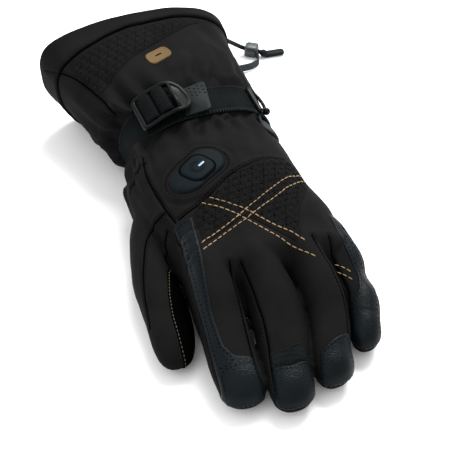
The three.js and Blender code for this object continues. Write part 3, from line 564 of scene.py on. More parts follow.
def rounded_box(length, width, corner, steps=3):
    """Outline of a box with rounded corners, about its own centre."""
    out = []
    for quarter, (right, up) in enumerate(((1, 1), (-1, 1), (-1, -1), (1, -1))):
        for k in range(steps + 1):
            a = quarter * math.pi / 2 + k / steps * math.pi / 2
            out.append([(length / 2 - corner) * right + corner * math.cos(a),
                        (width / 2 - corner) * up + corner * math.sin(a)])
    return np.array(out)


def rotated(flat, turn):
    """Plan points turned about the origin."""
    c, s = math.cos(turn), math.sin(turn)
    return np.column_stack([flat[:, 0] * c - flat[:, 1] * s, flat[:, 0] * s + flat[:, 1] * c])


def set_down(solid, turn, at):
    """A solid turned in plan and moved to a place."""
    verts, faces = solid
    return np.column_stack([rotated(verts, turn) + at, verts[:, 2]]), faces


def joined(parts):
    verts, faces, at = [], [], 0
    for part_verts, part_faces in parts:
        verts.append(np.asarray(part_verts, float))
        faces += [tuple(int(i) + at for i in face) for face in part_faces]
        at += len(part_verts)
    return np.vstack(verts), faces


# Rings of one stitch: place as a share of its length, size as a share of its thickness
STITCH_RINGS = [[0.0, 0.35], [0.15, 0.9], [0.5, 1.0], [0.85, 0.9], [1.0, 0.35]]
STITCH_SIDES = 6


def stitch_parts(line, normals, length, gap, radius, lift=0.0):
    """Small rounded stitches along a line that lies on a surface."""
    line = np.asarray(line, float)
    travel = travel_along(line)
    turn = even_turns(STITCH_SIDES)[:, None]
    faces = ring_faces(len(STITCH_RINGS), STITCH_SIDES)

    def row_at(rows, place):
        return np.array([np.interp(place, travel, column) for column in rows.T])

    parts = []
    at = 0.0
    while at + length < travel[-1]:
        start, end = row_at(line, at), row_at(line, at + length)
        way = (end - start) / max(np.linalg.norm(end - start), TINY)
        side = np.cross(way, row_at(normals, at + length / 2))
        side /= max(np.linalg.norm(side), TINY)
        up = np.cross(side, way)
        rings = []
        for share, size in STITCH_RINGS:
            sunk = 0.5 * radius * (abs(share - 0.5) * 2) ** 2
            centre = start + (end - start) * share + up * (lift - sunk)
            rings.append(centre + radius * size * (np.cos(turn) * side + np.sin(turn) * up))
        parts.append((np.vstack(rings), faces))
        at += length + gap
    return parts


# Materials
def add_node(tree, kind, source, socket="Vector", **values):
    """A shader node with one socket linked to a source and others set to values."""
    node = tree.nodes.new("ShaderNode" + kind)
    for name, value in values.items():
        node.inputs[name.replace("_", " ")].default_value = value
    tree.links.new(source, node.inputs[socket])
    return node


def add_ramp(tree, source, places, dark=(0, 0, 0), light=(1, 1, 1)):
    """The colour of a ramp from dark to light, between two values of its source."""
    ramp = add_node(tree, "ValToRGB", source, "Fac")
    for k, colour in enumerate((dark, light)):
        ramp.color_ramp.elements[k].position = places[k]
        ramp.color_ramp.elements[k].color = (*colour, 1)
    return ramp.outputs["Color"]


def add_threads(tree, colour, twill):
    """The colour with the gaps between the threads of a twill darkened."""
    mix = tree.nodes.new("ShaderNodeMix")
    mix.data_type = "RGBA"
    mix.blend_type = "MULTIPLY"
    mix.inputs["Factor"].default_value = 0.75
    tree.links.new(colour, mix.inputs["A"])
    tree.links.new(add_ramp(tree, twill, (0.25, 0.75), dark=(0.35, 0.35, 0.35)), mix.inputs["B"])
    return mix.outputs["Result"]


def material(name, dark, light, roughness, kind="cloth", specular=0.5, mottle=60.0, bump=0.3):
    """A mottled surface with the fine relief of cloth, leather, tape or something smooth."""
    made = bpy.data.materials.new(name)
    made.use_nodes = True
    tree = made.node_tree
    shader = tree.nodes["Principled BSDF"]
    shader.inputs["Roughness"].default_value = roughness
    shader.inputs["Specular IOR Level"].default_value = specular
    place = tree.nodes.new("ShaderNodeTexCoord").outputs
    mottled = add_node(tree, "TexNoise", place["Object"], Scale=mottle, Detail=5.0)
    colour = add_ramp(tree, mottled.outputs["Fac"], (0.3, 0.7), dark, light)
    if kind == "leather":
        grain = add_node(tree, "TexVoronoi", place["Object"], Scale=700.0)
        grain.feature = "DISTANCE_TO_EDGE"
        relief = add_ramp(tree, grain.outputs["Distance"], (0.0, 0.14))
    elif kind == "tape":
        twill = add_node(tree, "TexWave", place["UV"], Scale=0.3, Distortion=1.2, Detail=2.0,
                         Detail_Scale=2.0)
        twill.wave_type = "BANDS"
        twill.bands_direction = "DIAGONAL"
        relief = twill.outputs["Fac"]
        colour = add_threads(tree, colour, relief)
    elif kind == "smooth":
        relief = add_node(tree, "TexNoise", place["Object"], Scale=500.0).outputs["Fac"]
    else:
        relief = add_node(tree, "TexNoise", place["Object"], Scale=900.0, Detail=3.0).outputs["Fac"]
    bumps = add_node(tree, "Bump", relief, "Height", Strength=bump, Distance=0.0004)
    tree.links.new(bumps.outputs["Normal"], shader.inputs["Normal"])
    tree.links.new(colour, shader.inputs["Base Color"])
    return made


CLOTH = material("softshell cloth", (0.0042, 0.004, 0.0039), (0.0066, 0.0062, 0.0061), 0.8, specular=0.036)
QUILT = material("quilted cloth", (0.0032, 0.003, 0.003), (0.0052, 0.0049, 0.0048), 0.8, specular=0.03,
                 bump=0.5)
LINING = material("brushed lining", (0.0044, 0.0044, 0.0044), (0.0074, 0.0074, 0.0074), 0.95, specular=0.038)
HIDE = material("grained leather", (0.0012, 0.0025, 0.0033), (0.0024, 0.0046, 0.0059), 0.36, kind="leather",
                specular=0.075, bump=0.28)
PALM_HIDE = material("thumb leather", (0.0003, 0.0003, 0.0004), (0.0007, 0.0007, 0.0007), 0.8, kind="leather",
                     specular=0.007, bump=0.3)
RIBBED = material("ribbed band", (0.0034, 0.0047, 0.0048), (0.0072, 0.009, 0.0093), 0.9, specular=0.028,
                  bump=0.6)
TAPE = material("webbing", (0.0037, 0.0052, 0.0056), (0.0085, 0.011, 0.0115), 0.85, kind="tape",
                specular=0.026, bump=0.8)
# The strap's webbing made darker: painted shade where it runs through the buckle
SHADED_TAPE = material("webbing in the buckle with painted shade", (0.0014, 0.0019, 0.0021), (0.0034, 0.0044, 0.0047), 0.75,
                     kind="tape", specular=0.04, bump=0.8)
PICOT = material("webbing edge", (0.0085, 0.011, 0.0116), (0.0165, 0.0205, 0.0214), 0.85, specular=0.045)
MOULDED = material("buckle plastic", (0.0007, 0.0009, 0.0012), (0.0012, 0.0015, 0.0019), 0.3, kind="smooth",
                   specular=0.08, bump=0.05)
TAB = material("tab plastic", (0.0063, 0.0083, 0.0089), (0.0089, 0.0112, 0.0118), 0.5, kind="smooth",
               specular=0.053, bump=0.05)
RUBBER = material("button rubber", (0.0028, 0.0053, 0.0065), (0.0037, 0.0065, 0.0078), 0.6, kind="smooth",
                  specular=0.034, bump=0.05)
# Near black: painted shade in the groove round the button, and the dark print of the button's ring mark and
# the badge's bar
GROOVE_SHADE_AND_PRINT = material("painted groove shade and dark print", (0.0003, 0.0005, 0.0006), (0.0006, 0.0008, 0.001), 0.8, kind="smooth",
                  specular=0.02, bump=0.02)
LIGHT = material("light bar", (0.13, 0.24, 0.35), (0.17, 0.29, 0.41), 0.3, kind="smooth", bump=0.02)
BADGE = material("bronze badge", (0.0925, 0.0585, 0.0245), (0.1147, 0.073, 0.0325), 0.6, kind="smooth",
                 specular=0.05, bump=0.08)
GOLD_THREAD = material("gold thread", (0.1924, 0.1258, 0.0629), (0.3108, 0.2146, 0.1221), 0.6, specular=0.15)
# Dark thread, also used for the tubes in the seams' grooves, which are painted shade
DARK_THREAD_AND_SEAM_SHADE = material("dark thread and painted seam shade", (0.0004, 0.0004, 0.0004), (0.0009, 0.0009, 0.0009), 0.9, specular=0.015)
GREY_THREAD = material("grey thread", (0.009, 0.0095, 0.0095), (0.017, 0.018, 0.018), 0.8, specular=0.05)
TAN_THREAD = material("tan thread", (0.074, 0.0629, 0.0407), (0.111, 0.0925, 0.0592), 0.7, specular=0.15)
CORD = material("braided cord", (0.003, 0.0037, 0.0044), (0.0081, 0.01, 0.0111), 0.8, specular=0.112,
                mottle=400.0, bump=0.9)
# The lock is dark plastic; this lighter grey paints in its silver highlight
LOCK_PAINTED_HIGHLIGHT = material("cord lock plastic with painted highlight", (0.0222, 0.0266, 0.0296), (0.0444, 0.0518, 0.0555), 0.3, kind="smooth",
                  specular=0.3, bump=0.05)
RIBBON = material("grey ribbon", (0.0259, 0.0318, 0.0348), (0.037, 0.0444, 0.0481), 0.8, specular=0.075,
                  mottle=300.0)


# The padded skin: tube and fingers joined, with their crotches rounded over
def voxel_union(parts, size):
    """One skin of small triangles round solids that overlap."""
    rough = add_mesh("rough_skin", *joined(parts))
    remesh = rough.modifiers.new("union", "REMESH")
    remesh.mode = "VOXEL"
    remesh.voxel_size = size * MM
    graph = bpy.context.evaluated_depsgraph_get()
    even = rough.evaluated_get(graph).to_mesh()
    points = np.zeros(len(even.vertices) * 3)
    even.vertices.foreach_get("co", points)
    even.calc_loop_triangles()
    tris = np.zeros(len(even.loop_triangles) * 3, dtype=np.int32)
    even.loop_triangles.foreach_get("vertices", tris)
    rough.evaluated_get(graph).to_mesh_clear()
    bpy.data.objects.remove(rough, do_unlink=True)
    return points.reshape(-1, 3) / MM - SHIFT, tris.reshape(-1, 3).astype(int)


# Size of a voxel in mm, how far along the tube goes, and the steps along and sides of tube and fingers
VOXEL = 0.95
TUBE_END = 1.012
TUBE_STEP, TUBE_SIDES = 0.006, 96
FINGER_STEP, FINGER_SIDES = 0.008, 48
lofts = [closed_loft(BODY, tip_places(BODY, TUBE_END, TUBE_STEP), TUBE_SIDES)]
for form in FINGERS.values():
    lofts.append(closed_loft(form, tip_places(form, form["rows"][-1][0], FINGER_STEP), FINGER_SIDES))
skin, skin_tris = voxel_union(lofts, VOXEL)
skin = smoothed(skin, skin_tris, 8, weights=(0.5, -0.4))


def hump(value, at, wide):
    """A bell of height one at a place, as wide as its half width."""
    return np.exp(-(((value - at) / wide) ** 2))


def blended(low, high, value):
    t = np.clip((value - low) / (high - low), 0, 1)
    return t * t * (3 - 2 * t)


def soft_noise(points, size, seed):
    return np.array([noise.noise(Vector((p[0] / size + seed, p[1] / size, p[2] / size))) for p in points])


# Creases pressed into the padding: start, middle and end as across, along and height in mm; width and
# depth in mm
CREASES = [
    # Lower left of the strap
    [[-0.36, 0.745, 46], [-0.34, 0.765, 52], [-0.29, 0.79, 58], 3.0, -2.6],
    [[-0.39, 0.75, 34], [-0.39, 0.775, 38], [-0.36, 0.81, 46], 3.2, -3.2],
    [[-0.41, 0.752, 22], [-0.43, 0.78, 24], [-0.42, 0.82, 30], 3.4, -3.0],
    [[-0.35, 0.64, 48], [-0.37, 0.615, 48], [-0.38, 0.58, 46], 2.6, -1.6],
    [[-0.3, 0.645, 56], [-0.29, 0.62, 60], [-0.27, 0.59, 62], 3.0, -1.2],
    # Hand side of the strap, right of the buckle
    [[-0.02, 0.648, 62], [-0.03, 0.62, 63], [-0.04, 0.595, 64], 3.0, -1.8],
    [[0.07, 0.648, 62], [0.075, 0.625, 63], [0.07, 0.6, 63], 2.8, -1.9],
    [[0.15, 0.65, 60], [0.17, 0.622, 61], [0.18, 0.59, 61], 3.0, -2.0],
    [[0.23, 0.652, 57], [0.26, 0.63, 57], [0.28, 0.6, 57], 3.0, -1.8],
    [[0.31, 0.655, 52], [0.34, 0.63, 50], [0.36, 0.6, 48], 3.0, -1.8],
    # Cuff above the strap on the right
    [[0.1, 0.755, 66], [0.13, 0.79, 69], [0.2, 0.82, 70], 5.5, -2.2],
    [[0.2, 0.75, 63], [0.26, 0.79, 65], [0.34, 0.85, 65], 6.0, -2.4],
    [[0.31, 0.75, 57], [0.37, 0.79, 57], [0.42, 0.83, 56], 5.0, -2.2],
    [[0.02, 0.752, 67], [0.0, 0.78, 69], [0.02, 0.81, 71], 5.0, -1.4],
    [[0.28, 0.94, 70], [0.33, 0.9, 68], [0.37, 0.86, 64], 5.5, -1.2],
    # Across the index finger's strip
    [[-0.385, 0.385, 46], [-0.34, 0.378, 52], [-0.29, 0.376, 55], 1.5, -0.8],
    [[-0.385, 0.362, 46], [-0.34, 0.352, 51], [-0.3, 0.36, 55], 1.5, -0.9],
    [[-0.39, 0.335, 44], [-0.35, 0.34, 50], [-0.3, 0.333, 54], 1.4, -0.7],
    [[-0.39, 0.3, 40], [-0.35, 0.312, 48], [-0.31, 0.318, 53], 1.5, -0.9],
    # Where the little finger's cap begins on its outer side
    [[0.478, 0.226, 6], [0.488, 0.224, 24], [0.445, 0.222, 44], 9.0, -2.5],
    # Between the thumb and the index finger
    [[-0.41, 0.43, 48], [-0.39, 0.4, 46], [-0.4, 0.37, 40], 3.2, -2.2],
]


def crease_samples():
    samples = []
    for start, middle, end, width, depth in CREASES:
        line = curve_through(in_mm([start, middle, end]), 12)
        for k, point in enumerate(line):
            fade = math.sin(math.pi * (0.15 + 0.8 * k / (len(line) - 1)))
            samples.append((point, width, depth * fade))
    return samples


def press_creases(points, normals):
    """Presses in each crease, with the padding a little fuller beside it."""
    samples = crease_samples()
    tree = tree_of([point for point, _, _ in samples])
    found, distance = np.array([tree.find(Vector(point))[1:] for point in points]).T
    width, depth = np.array([sample[1:] for sample in samples])[found.astype(int)].T
    shape = hump(distance, 0, width) - 0.35 * hump(distance, 1.9 * width, width)
    return points + normals * np.where(distance < 3 * width, depth * shape, 0)[:, None]


# Where the strap draws the cloth in: edge of the strap as a share along, side, reach in mm, height in mm
DRAWN_IN = [
    [0.659, -1, 27.0, 2.7],
    [0.737, 1, 26.0, 2.9],
]
# Where the strap lies on the cloth, as shares along, and how deep it dips there in mm
UNDER_STRAP = (0.657, 0.739)
STRAP_DIP = 0.5


def press_gathers(points, normals):
    """Uneven pleats that run out from both edges of the strap, deepest towards the thumb."""
    along = points[:, 1] / LENGTH
    wide, tall = place_in_oval(BODY_ROWS, points)
    turn = np.arctan2(tall, wide)
    change = np.zeros(len(points))
    for edge, side, reach, height in DRAWN_IN:
        beyond = (along - edge) * LENGTH * side
        swing = 0.09 * np.sin(2.0 * turn + side) * beyond / reach
        pleats = 0.6 * np.cos(15 * (turn + swing) + 1.7 * np.sin(3 * turn))
        pleats += 0.4 * np.cos(26 * (turn - swing) + 1.1 * np.sin(5 * turn) + side)
        deeper = 1 + 1.3 * hump(np.abs(turn), 2.6, 0.5)
        fade = np.where(beyond > -1.5, np.exp(-np.maximum(beyond - 2, 0) / reach * 1.6), 0)
        fade = fade * blended(-1.5, 1.5, beyond)
        change += height * deeper * fade * (pleats - 0.35)
    under = (along > UNDER_STRAP[0]) & (along < UNDER_STRAP[1])
    change = np.where(under, -STRAP_DIP, 0) + change * blended(2.0, 9.0, points[:, 2])
    return points + normals * change[:, None]


# Places above the crotches where the cloth bridges from finger to finger: across, along, reach across and
# reach along in mm
WEBS = [
    [-0.175, 0.322, 9.0, 11.0],
    [0.05, 0.323, 11.0, 12.0],
    [0.265, 0.336, 9.0, 11.0],
]


def bridge_webs(points):
    """Fills the valleys over the crotches, so that the fingers part only below them."""
    along = points[:, 1] / LENGTH
    near = ((along > 0.2) & (along < 0.45))[skin_tris].all(axis=1)
    used, local = np.unique(skin_tris[near], return_inverse=True)
    eased = smoothed(points[used], local.reshape(-1, 3), 200, weights=(0.7,))
    bridged = points.copy()
    bridged[used] = eased
    share = np.zeros(len(points))
    for across, height, wide, deep in WEBS:
        apart = ((points[:, 0] - across * WIDTH) / wide) ** 2 + ((points[:, 1] - height * LENGTH) / deep) ** 2
        share = np.maximum(share, np.exp(-apart ** 2))
    share *= blended(22.0, 34.0, points[:, 2]) * np.where(bridged[:, 2] > points[:, 2], 1.0, 0.3)
    return points + (bridged - points) * share[:, None]


# Soft unevenness of the padding: size in mm, seed and height in mm
SWAY_ROWS = [[26.0, 3.0, 0.55], [11.0, 8.0, 0.22]]
skin = bridge_webs(skin)
normals = normals_of(skin, skin_tris)
sway = sum(soft_noise(skin, size, seed) * height for size, seed, height in SWAY_ROWS)
resting = blended(1.0, 6.0, skin[:, 2])
skin = skin + normals * (sway * resting)[:, None]
skin = press_creases(skin, normals)
skin = press_gathers(skin, normals)
skin[:, 2] = np.maximum(skin[:, 2], 0.0)
skin = smoothed(skin, skin_tris, 1)

# The skin before its seams are pressed in, on which lines are placed
smooth_normals = normals_of(skin, skin_tris)
surface = surface_of(skin, skin_tris)


def on_skin(points):
    """Points and normals on the skin: nearest for points with a height, from above for plain plan points."""
    placed, facing = [], []
    for point in points:
        hit = None
        if len(point) == 2:
            hit, normal = from_above(surface, *point)
        if hit is None:
            hit, normal, _, _ = surface.find_nearest(Vector((*point, HEIGHT / 2)[:3]))
        placed.append(np.array(hit))
        facing.append(np.array(normal))
    return np.array(placed), np.array(facing)


def skin_line(shares, step=1.5):
    """A line drawn on the skin through points given as shares across and along, with or without a height."""
    points = in_mm(shares)
    columns = points.shape[1]
    points = np.column_stack([points, np.zeros(len(points))])[:, :3]
    line = resampled(curve_through(points, 8) if len(points) > 2 else points, step)
    placed, facing = on_skin(line[:, :columns])
    return placed, unit(averaged(facing, 2))


# Edges of each finger's top panel, towards the thumb and away from it: place along the glove and
# lean from the middle of the top in degrees
PANEL_EDGES = {
    "index": {
        "thumb side": [[0.061, 83], [0.079, 73], [0.112, 68], [0.147, 65], [0.206, 64], [0.251, 68],
                       [0.29, 66], [0.338, 58], [0.392, 51]],
        "far side": [[0.05, 50], [0.06, 40], [0.098, 40], [0.137, 45], [0.178, 46], [0.223, 50],
                     [0.276, 48]],
    },
    "middle": {
        "thumb side": [[0.025, 66], [0.049, 58], [0.08, 50], [0.112, 43], [0.149, 44], [0.197, 50],
                       [0.27, 52]],
        "far side": [[0.028, 62], [0.066, 62], [0.102, 55], [0.142, 48], [0.183, 46], [0.232, 51],
                     [0.268, 52]],
    },
    "ring": {
        "thumb side": [[0.04, 60], [0.054, 45], [0.078, 38], [0.109, 40], [0.141, 51], [0.188, 66],
                       [0.23, 66], [0.269, 58]],
        "far side": [[0.051, 74], [0.107, 60], [0.14, 56], [0.167, 50], [0.198, 38], [0.242, 32],
                     [0.285, 34]],
    },
    "little": {
        "thumb side": [[0.114, 76], [0.135, 68], [0.172, 60], [0.199, 45], [0.258, 43], [0.284, 43]],
        "far side": [[0.11, 66], [0.15, 60], [0.2, 50], [0.24, 45], [0.262, 47], [0.284, 40], [0.305, 26]],
    },
}
# Height in millimetres of the panel's edge round each fingertip
PANEL_LOW = {"index": 8.5, "middle": 10.5, "ring": 9.0, "little": 10.5}
SEAM_LINES = {
    "hand side": [[-0.343, 0.605, 55], [-0.382, 0.54, 54], [-0.379, 0.462, 54], [-0.357, 0.409, 53]],
    "cross": [[-0.345, 0.588, 56], [-0.4, 0.58, 48], [-0.44, 0.565, 38]],
    "thumb": [[-0.37, 0.443, 51], [-0.454, 0.441, 38], [-0.537, 0.387, 34], [-0.591, 0.324, 26],
              [-0.625, 0.252, 19]],
    "thumb crease": [[-0.387, 0.415, 45], [-0.419, 0.383, 31], [-0.414, 0.351, 26]],
    "cuff diagonal": [[-0.567, 0.974, 50], [-0.491, 0.887, 58], [-0.414, 0.805, 57], [-0.363, 0.755, 52]],
    "knuckle": [[-0.326, 0.413], [-0.203, 0.422], [-0.083, 0.445], [0.026, 0.473], [0.192, 0.494],
                [0.33, 0.5]],
}


def finger_of(points):
    """Which finger each point is nearest to, by the finger's own oval at the point's place along."""
    along = points[:, 1] / LENGTH
    reach = []
    for form in FINGERS.values():
        gone = (along < form["rows"][0][0] - 0.01) | (along > form["rows"][-1][0] + 0.05)
        reach.append(np.where(gone, 99, np.hypot(*place_in_oval(form["rows"], points))))
    return np.argmin(np.array(reach), axis=0)


def panel_room(name, points):
    """Distance in millimetres inside a finger's top panel, from its sides and its edge round the tip."""
    along = points[:, 1] / LENGTH
    _, centre, half, _, _, square = columns_at(FINGERS[name]["rows"], along).T
    rooms = [points[:, 2] - PANEL_LOW[name]]
    for side, sign in (("thumb side", -1), ("far side", 1)):
        lean = np.radians(steady_line(PANEL_EDGES[name][side], along))
        limit = centre * WIDTH + sign * half * WIDTH * np.sin(lean) ** (2 / square)
        rooms.append(sign * (limit - points[:, 0]))
    return np.min(rooms, axis=0)


def hem_room(points):
    """Distance in millimetres beyond the hem's lower edge, towards the mouth."""
    return (points[:, 1] / LENGTH - steady_line(HEM_EDGE, points[:, 0] / WIDTH)) * LENGTH


def panel_seams():
    """The edges of the top panels as lines on the skin, each up to where the panel's edge table ends."""
    out = []
    nearest = finger_of(skin)
    for name, edges in PANEL_EDGES.items():
        room = np.where(nearest == NAMES.index(name), panel_room(name, skin), -4.0)
        rows = np.hstack([skin, smooth_normals, room[:, None]])
        for chain in contour_lines(rows, skin_tris, VALUE, 0.0):
            here = chain[:, 1] / LENGTH
            centre = columns_at(FINGERS[name]["rows"], here)[:, 1] * WIDTH
            end = np.where(chain[:, 0] < centre, edges["thumb side"][-1][0], edges["far side"][-1][0])
            kept = (here < end) & (chain[:, 2] > 4)
            for run in runs_of(chain[:, :6], kept)[:-1]:
                if len(run) > 25:
                    line = averaged(resampled(np.array(run), 1.2), 3)
                    out.append((line[:, :3], line[:, 3:6]))
    return out


hem_rows = np.hstack([skin, smooth_normals, hem_room(skin)[:, None]])
hem_chains = contour_lines(hem_rows, skin_tris, VALUE, -0.6)
hem_seams = [(chain[:, :3], chain[:, 3:6]) for chain in hem_chains if len(chain) > 60]
seams = panel_seams() + [skin_line(rows) for rows in SEAM_LINES.values()]


# Depth and half width of the groove of a seam, and height, place and half width of the fullness beside it
GROOVE_DEPTH, GROOVE_WIDTH = 1.0, 0.85
FULL_HEIGHT, FULL_AT, FULL_WIDTH = 0.3, 2.6, 1.5


def press_seams(points, normals):
    """Grooves along the seams, with the padding a little fuller beside them."""
    tree = tree_of(np.vstack([resampled(line, 0.5) for line, _ in seams + hem_seams]))
    distance = np.array([tree.find(Vector(point))[2] for point in points])
    change = FULL_HEIGHT * hump(distance, FULL_AT, FULL_WIDTH)
    change -= GROOVE_DEPTH * hump(distance, 0, GROOVE_WIDTH)
    return points + normals * change[:, None]


skin = press_seams(skin, smooth_normals)

# Place and turn of the button, length and width of its housing
BUTTON_PLACE = np.array([-0.143 * WIDTH, 0.5 * LENGTH])
BUTTON_TURN = math.radians(31)
STADIUM = (40.0, 22.0)


def round_box_distance(flat, length, width, corner):
    """Distance outside a box with rounded corners, negative inside it."""
    q = np.abs(flat) - np.array([length / 2 - corner, width / 2 - corner])
    outside = np.linalg.norm(np.maximum(q, 0), axis=1)
    return outside + np.minimum(np.max(q, axis=1), 0) - corner


# Rim and moat of the cloth round the button: height, distance from the housing and half width, in mm
RIM_HEIGHT, RIM_AT, RIM_WIDTH = 0.9, 3.4, 1.6
MOAT_DEPTH, MOAT_AT, MOAT_WIDTH = 0.7, 7.0, 1.8
away = round_box_distance(rotated(skin[:, :2] - BUTTON_PLACE, -BUTTON_TURN), *STADIUM, STADIUM[1] / 2)
rim = RIM_HEIGHT * hump(away, RIM_AT, RIM_WIDTH) - MOAT_DEPTH * hump(away, MOAT_AT, MOAT_WIDTH)
skin = skin + smooth_normals * np.where(skin[:, 2] > 40, rim, 0)[:, None]
skin[:, 2] = np.maximum(skin[:, 2], 0.0)
normals = normals_of(skin, skin_tris)

# Value of a field where its piece can't be
OUTSIDE = -5.0
# Least upward share of the normal under a panel on the back
FACING_UP = 0.2


def piece_fields():
    """How far inside each sewn-on piece every point of the skin is, in millimetres, by the piece's name."""
    nearest = finger_of(skin)
    across, along = skin[:, 0] / WIDTH, skin[:, 1] / LENGTH
    slant = 0.1 * np.abs(across + 0.09)
    little_plan = np.maximum(inside_distance(skin, LITTLE_TIP), inside_distance(skin, LITTLE_STRIP))
    index_plan = np.maximum(inside_distance(skin, INDEX_STRIP), (0.094 - along) * LENGTH)
    on_fingers = {
        "index_leather": ("index", index_plan),
        "middle_leather_tip": ("middle", (0.058 + slant - along) * LENGTH),
        "middle_ribbed_band": ("middle", np.minimum(0.09 + slant - along, along - 0.0585 - slant) * LENGTH),
        "ring_leather_tip": ("ring", (0.066 + 0.15 * across - along) * LENGTH),
        "little_leather": ("little", little_plan),
    }
    found = {}
    for name, (finger, field) in on_fingers.items():
        inside = np.minimum(field, panel_room(finger, skin))
        found[name] = np.where(nearest == NAMES.index(finger), inside, OUTSIDE)
    thumb = np.minimum(inside_distance(skin, THUMB_PATCH), skin[:, 2] - 2)
    found["thumb_leather"] = np.where(nearest == NAMES.index("thumb"), thumb, OUTSIDE)
    for name, outline in (("knuckle_panel", KNUCKLE_PANEL), ("cuff_panel", CUFF_PANEL)):
        found[name] = np.where(normals[:, 2] > FACING_UP, inside_distance(skin, outline), OUTSIDE)
    found["cuff_hem"] = hem_room(skin)
    # Eased, so that the outlines turn their corners softly
    eased = smoothed(np.column_stack(list(found.values())), skin_tris, 8, weights=(0.6,))
    return dict(zip(found, eased.T))


# Rows of the skin: point, normal, distance inside the mouth, then one field of each sewn-on piece
fields = piece_fields()
table = np.hstack([skin, normals, (MOUTH - skin[:, 1])[:, None], np.column_stack(list(fields.values()))])
column_of = {name: VALUE + 1 + k for k, name in enumerate(fields)}
table, tris = keep_above(table, skin_tris, VALUE)

# Size and height of one puff of the quilting
PUFF = 5.6
PUFF_HEIGHT = 0.95

# Pitch and height of the ribs in the middle finger's band
RIB_PITCH = 2.9
RIB_HEIGHT = 0.2

# Width of the rounded edge of a sewn-on piece, and how deep the edge goes under the cloth
EDGE_ROLL = 0.8
EDGE_SUNK = 0.35


def patch(name, raised, cloth, slot_name):
    """A sewn-on piece: the skin inside a field, raised, with a rounded edge."""
    column = column_of[name]
    rows, faces = keep_above(table, tris, column)
    for share in (0.3, 1.0):
        rows, faces = split_at(rows, faces, column, EDGE_ROLL * share)
    share = 1 - np.clip(rows[:, column] / EDGE_ROLL, 0, 1)
    lift = (raised + EDGE_SUNK) * np.sqrt(np.maximum(1 - share**2, 0)) - EDGE_SUNK
    if cloth is RIBBED:
        lift += RIB_HEIGHT * np.sin(2 * np.pi * (rows[:, 1] + 0.12 * rows[:, 0]) / RIB_PITCH)
    if cloth is QUILT:
        one_way = np.sin(np.pi * (rows[:, 0] + 0.5 * rows[:, 1]) / PUFF)
        other_way = np.sin(np.pi * (rows[:, 0] - 1.1 * rows[:, 1]) / PUFF)
        lift += PUFF_HEIGHT * np.sqrt(np.abs(one_way * other_way)) * np.clip(rows[:, column] / 3, 0, 1)
    points = rows[:, :3] + rows[:, 3:6] * lift[:, None]
    points[:, 2] = np.maximum(points[:, 2], 0.0)
    add_piece(name + "_sewn", (points, faces), cloth, [name])
    return rows, faces, surface_of(points, faces)


def shell_part(name, faces, nodes):
    """A part of the padded skin, in place of the listed nodes."""
    used, flat = np.unique(faces, return_inverse=True)
    piece = add_piece(name, (table[used, :3], flat.reshape(-1, 3)), CLOTH, nodes)


in_cuff = table[tris, 1].mean(axis=1) > STRAP_MIDDLE * LENGTH
HAND_NODES = ["hand_back", "hand_palm", *(name + "_stall" for name in NAMES)]
shell_part("padded_hand", tris[~in_cuff], HAND_NODES)
shell_part("padded_cuff", tris[in_cuff], ["cuff_shell"])

# Sewn-on pieces: height over the cloth in mm, looks and slot
RAISED = {
    "index_leather": (0.7, HIDE, "leather"),
    "middle_leather_tip": (0.7, HIDE, "leather"),
    "ring_leather_tip": (0.7, HIDE, "leather"),
    "little_leather": (0.7, HIDE, "leather"),
    "thumb_leather": (0.6, PALM_HIDE, "leather"),
    "middle_ribbed_band": (0.35, RIBBED, "textured_cloth"),
    "knuckle_panel": (0.45, QUILT, "textured_cloth"),
    "cuff_panel": (0.4, QUILT, "textured_cloth"),
    "cuff_hem": (1.5, CLOTH, "cloth"),
}
patches = {name: patch(name, *facts) for name, facts in RAISED.items()}

# Lining of the cuff, from the rolled lip of the hem inwards
LIP_ROWS = [
    # offset from the cloth in mm, place in mm from the mouth
    [0.9, -3.0], [1.1, -1.0], [0.6, 0.4], [-0.6, 1.1], [-1.9, 1.0], [-2.9, 0.2], [-3.2, -2.0],
    [-3.2, -12.0], [-3.2, -30.0], [-3.2, -60.0], [-3.2, -85.0], [-3.2, -120.0], [-3.2, -150.0],
]
LIP_SIDES = 128


def lining():
    angles = even_turns(LIP_SIDES)
    inner = dict(BODY, gathers=[])
    rings = []
    for offset, place in LIP_ROWS:
        along = np.full_like(angles, min(1.0, (MOUTH + min(place, 0)) / LENGTH))
        ring = points_on(inner, along, angles, offset)
        ring[:, 1] = MOUTH + place
        ring[:, 2] = np.maximum(ring[:, 2], 0.05 if offset > -2 else -offset)
        rings.append(ring)
    return np.vstack(rings), ring_faces(len(rings), LIP_SIDES, "last capped")


add_piece("cuff_lining", lining(), LINING)


# Wrist strap round the tube
def strap_ring(angles, share, offset):
    """Points round the wrist at a share of the strap's half width, at an offset from the cloth."""
    place = STRAP_MIDDLE + share * STRAP_WIDTH / 2 / LENGTH
    return points_on(BODY, np.full_like(angles, place), angles, offset)


# Outline of the strap: share of its half width, share of its thickness
STRAP_SECTION = [
    [-1, 0.0], [-1, 0.75], [-0.97, 1.0], [-0.6, 1.0], [-0.2, 1.0], [0.2, 1.0], [0.6, 1.0], [0.97, 1.0],
    [1, 0.75], [1, 0.0],
]


def strap_band(steps=260):
    """The strap's vertices and faces, with a place along and across for its weave."""
    angles = even_turns(steps)
    travel = travel_along(strap_ring(angles, 0, STRAP_TOP))
    rings, uvs = [], []
    for share, height in STRAP_SECTION:
        rings.append(strap_ring(angles, share, STRAP_GAP + STRAP_THICK * height))
        across = share * STRAP_WIDTH / 2 + (1 - height) * 2
        uvs.append(np.stack([travel, np.full_like(travel, across)], axis=1))
    return np.vstack(rings), flipped(ring_faces(len(rings), steps, "joined")), np.vstack(uvs)


*solid, coords = strap_band()
add_piece("strap_webbing", solid, TAPE, ["wrist_strap"], coords)


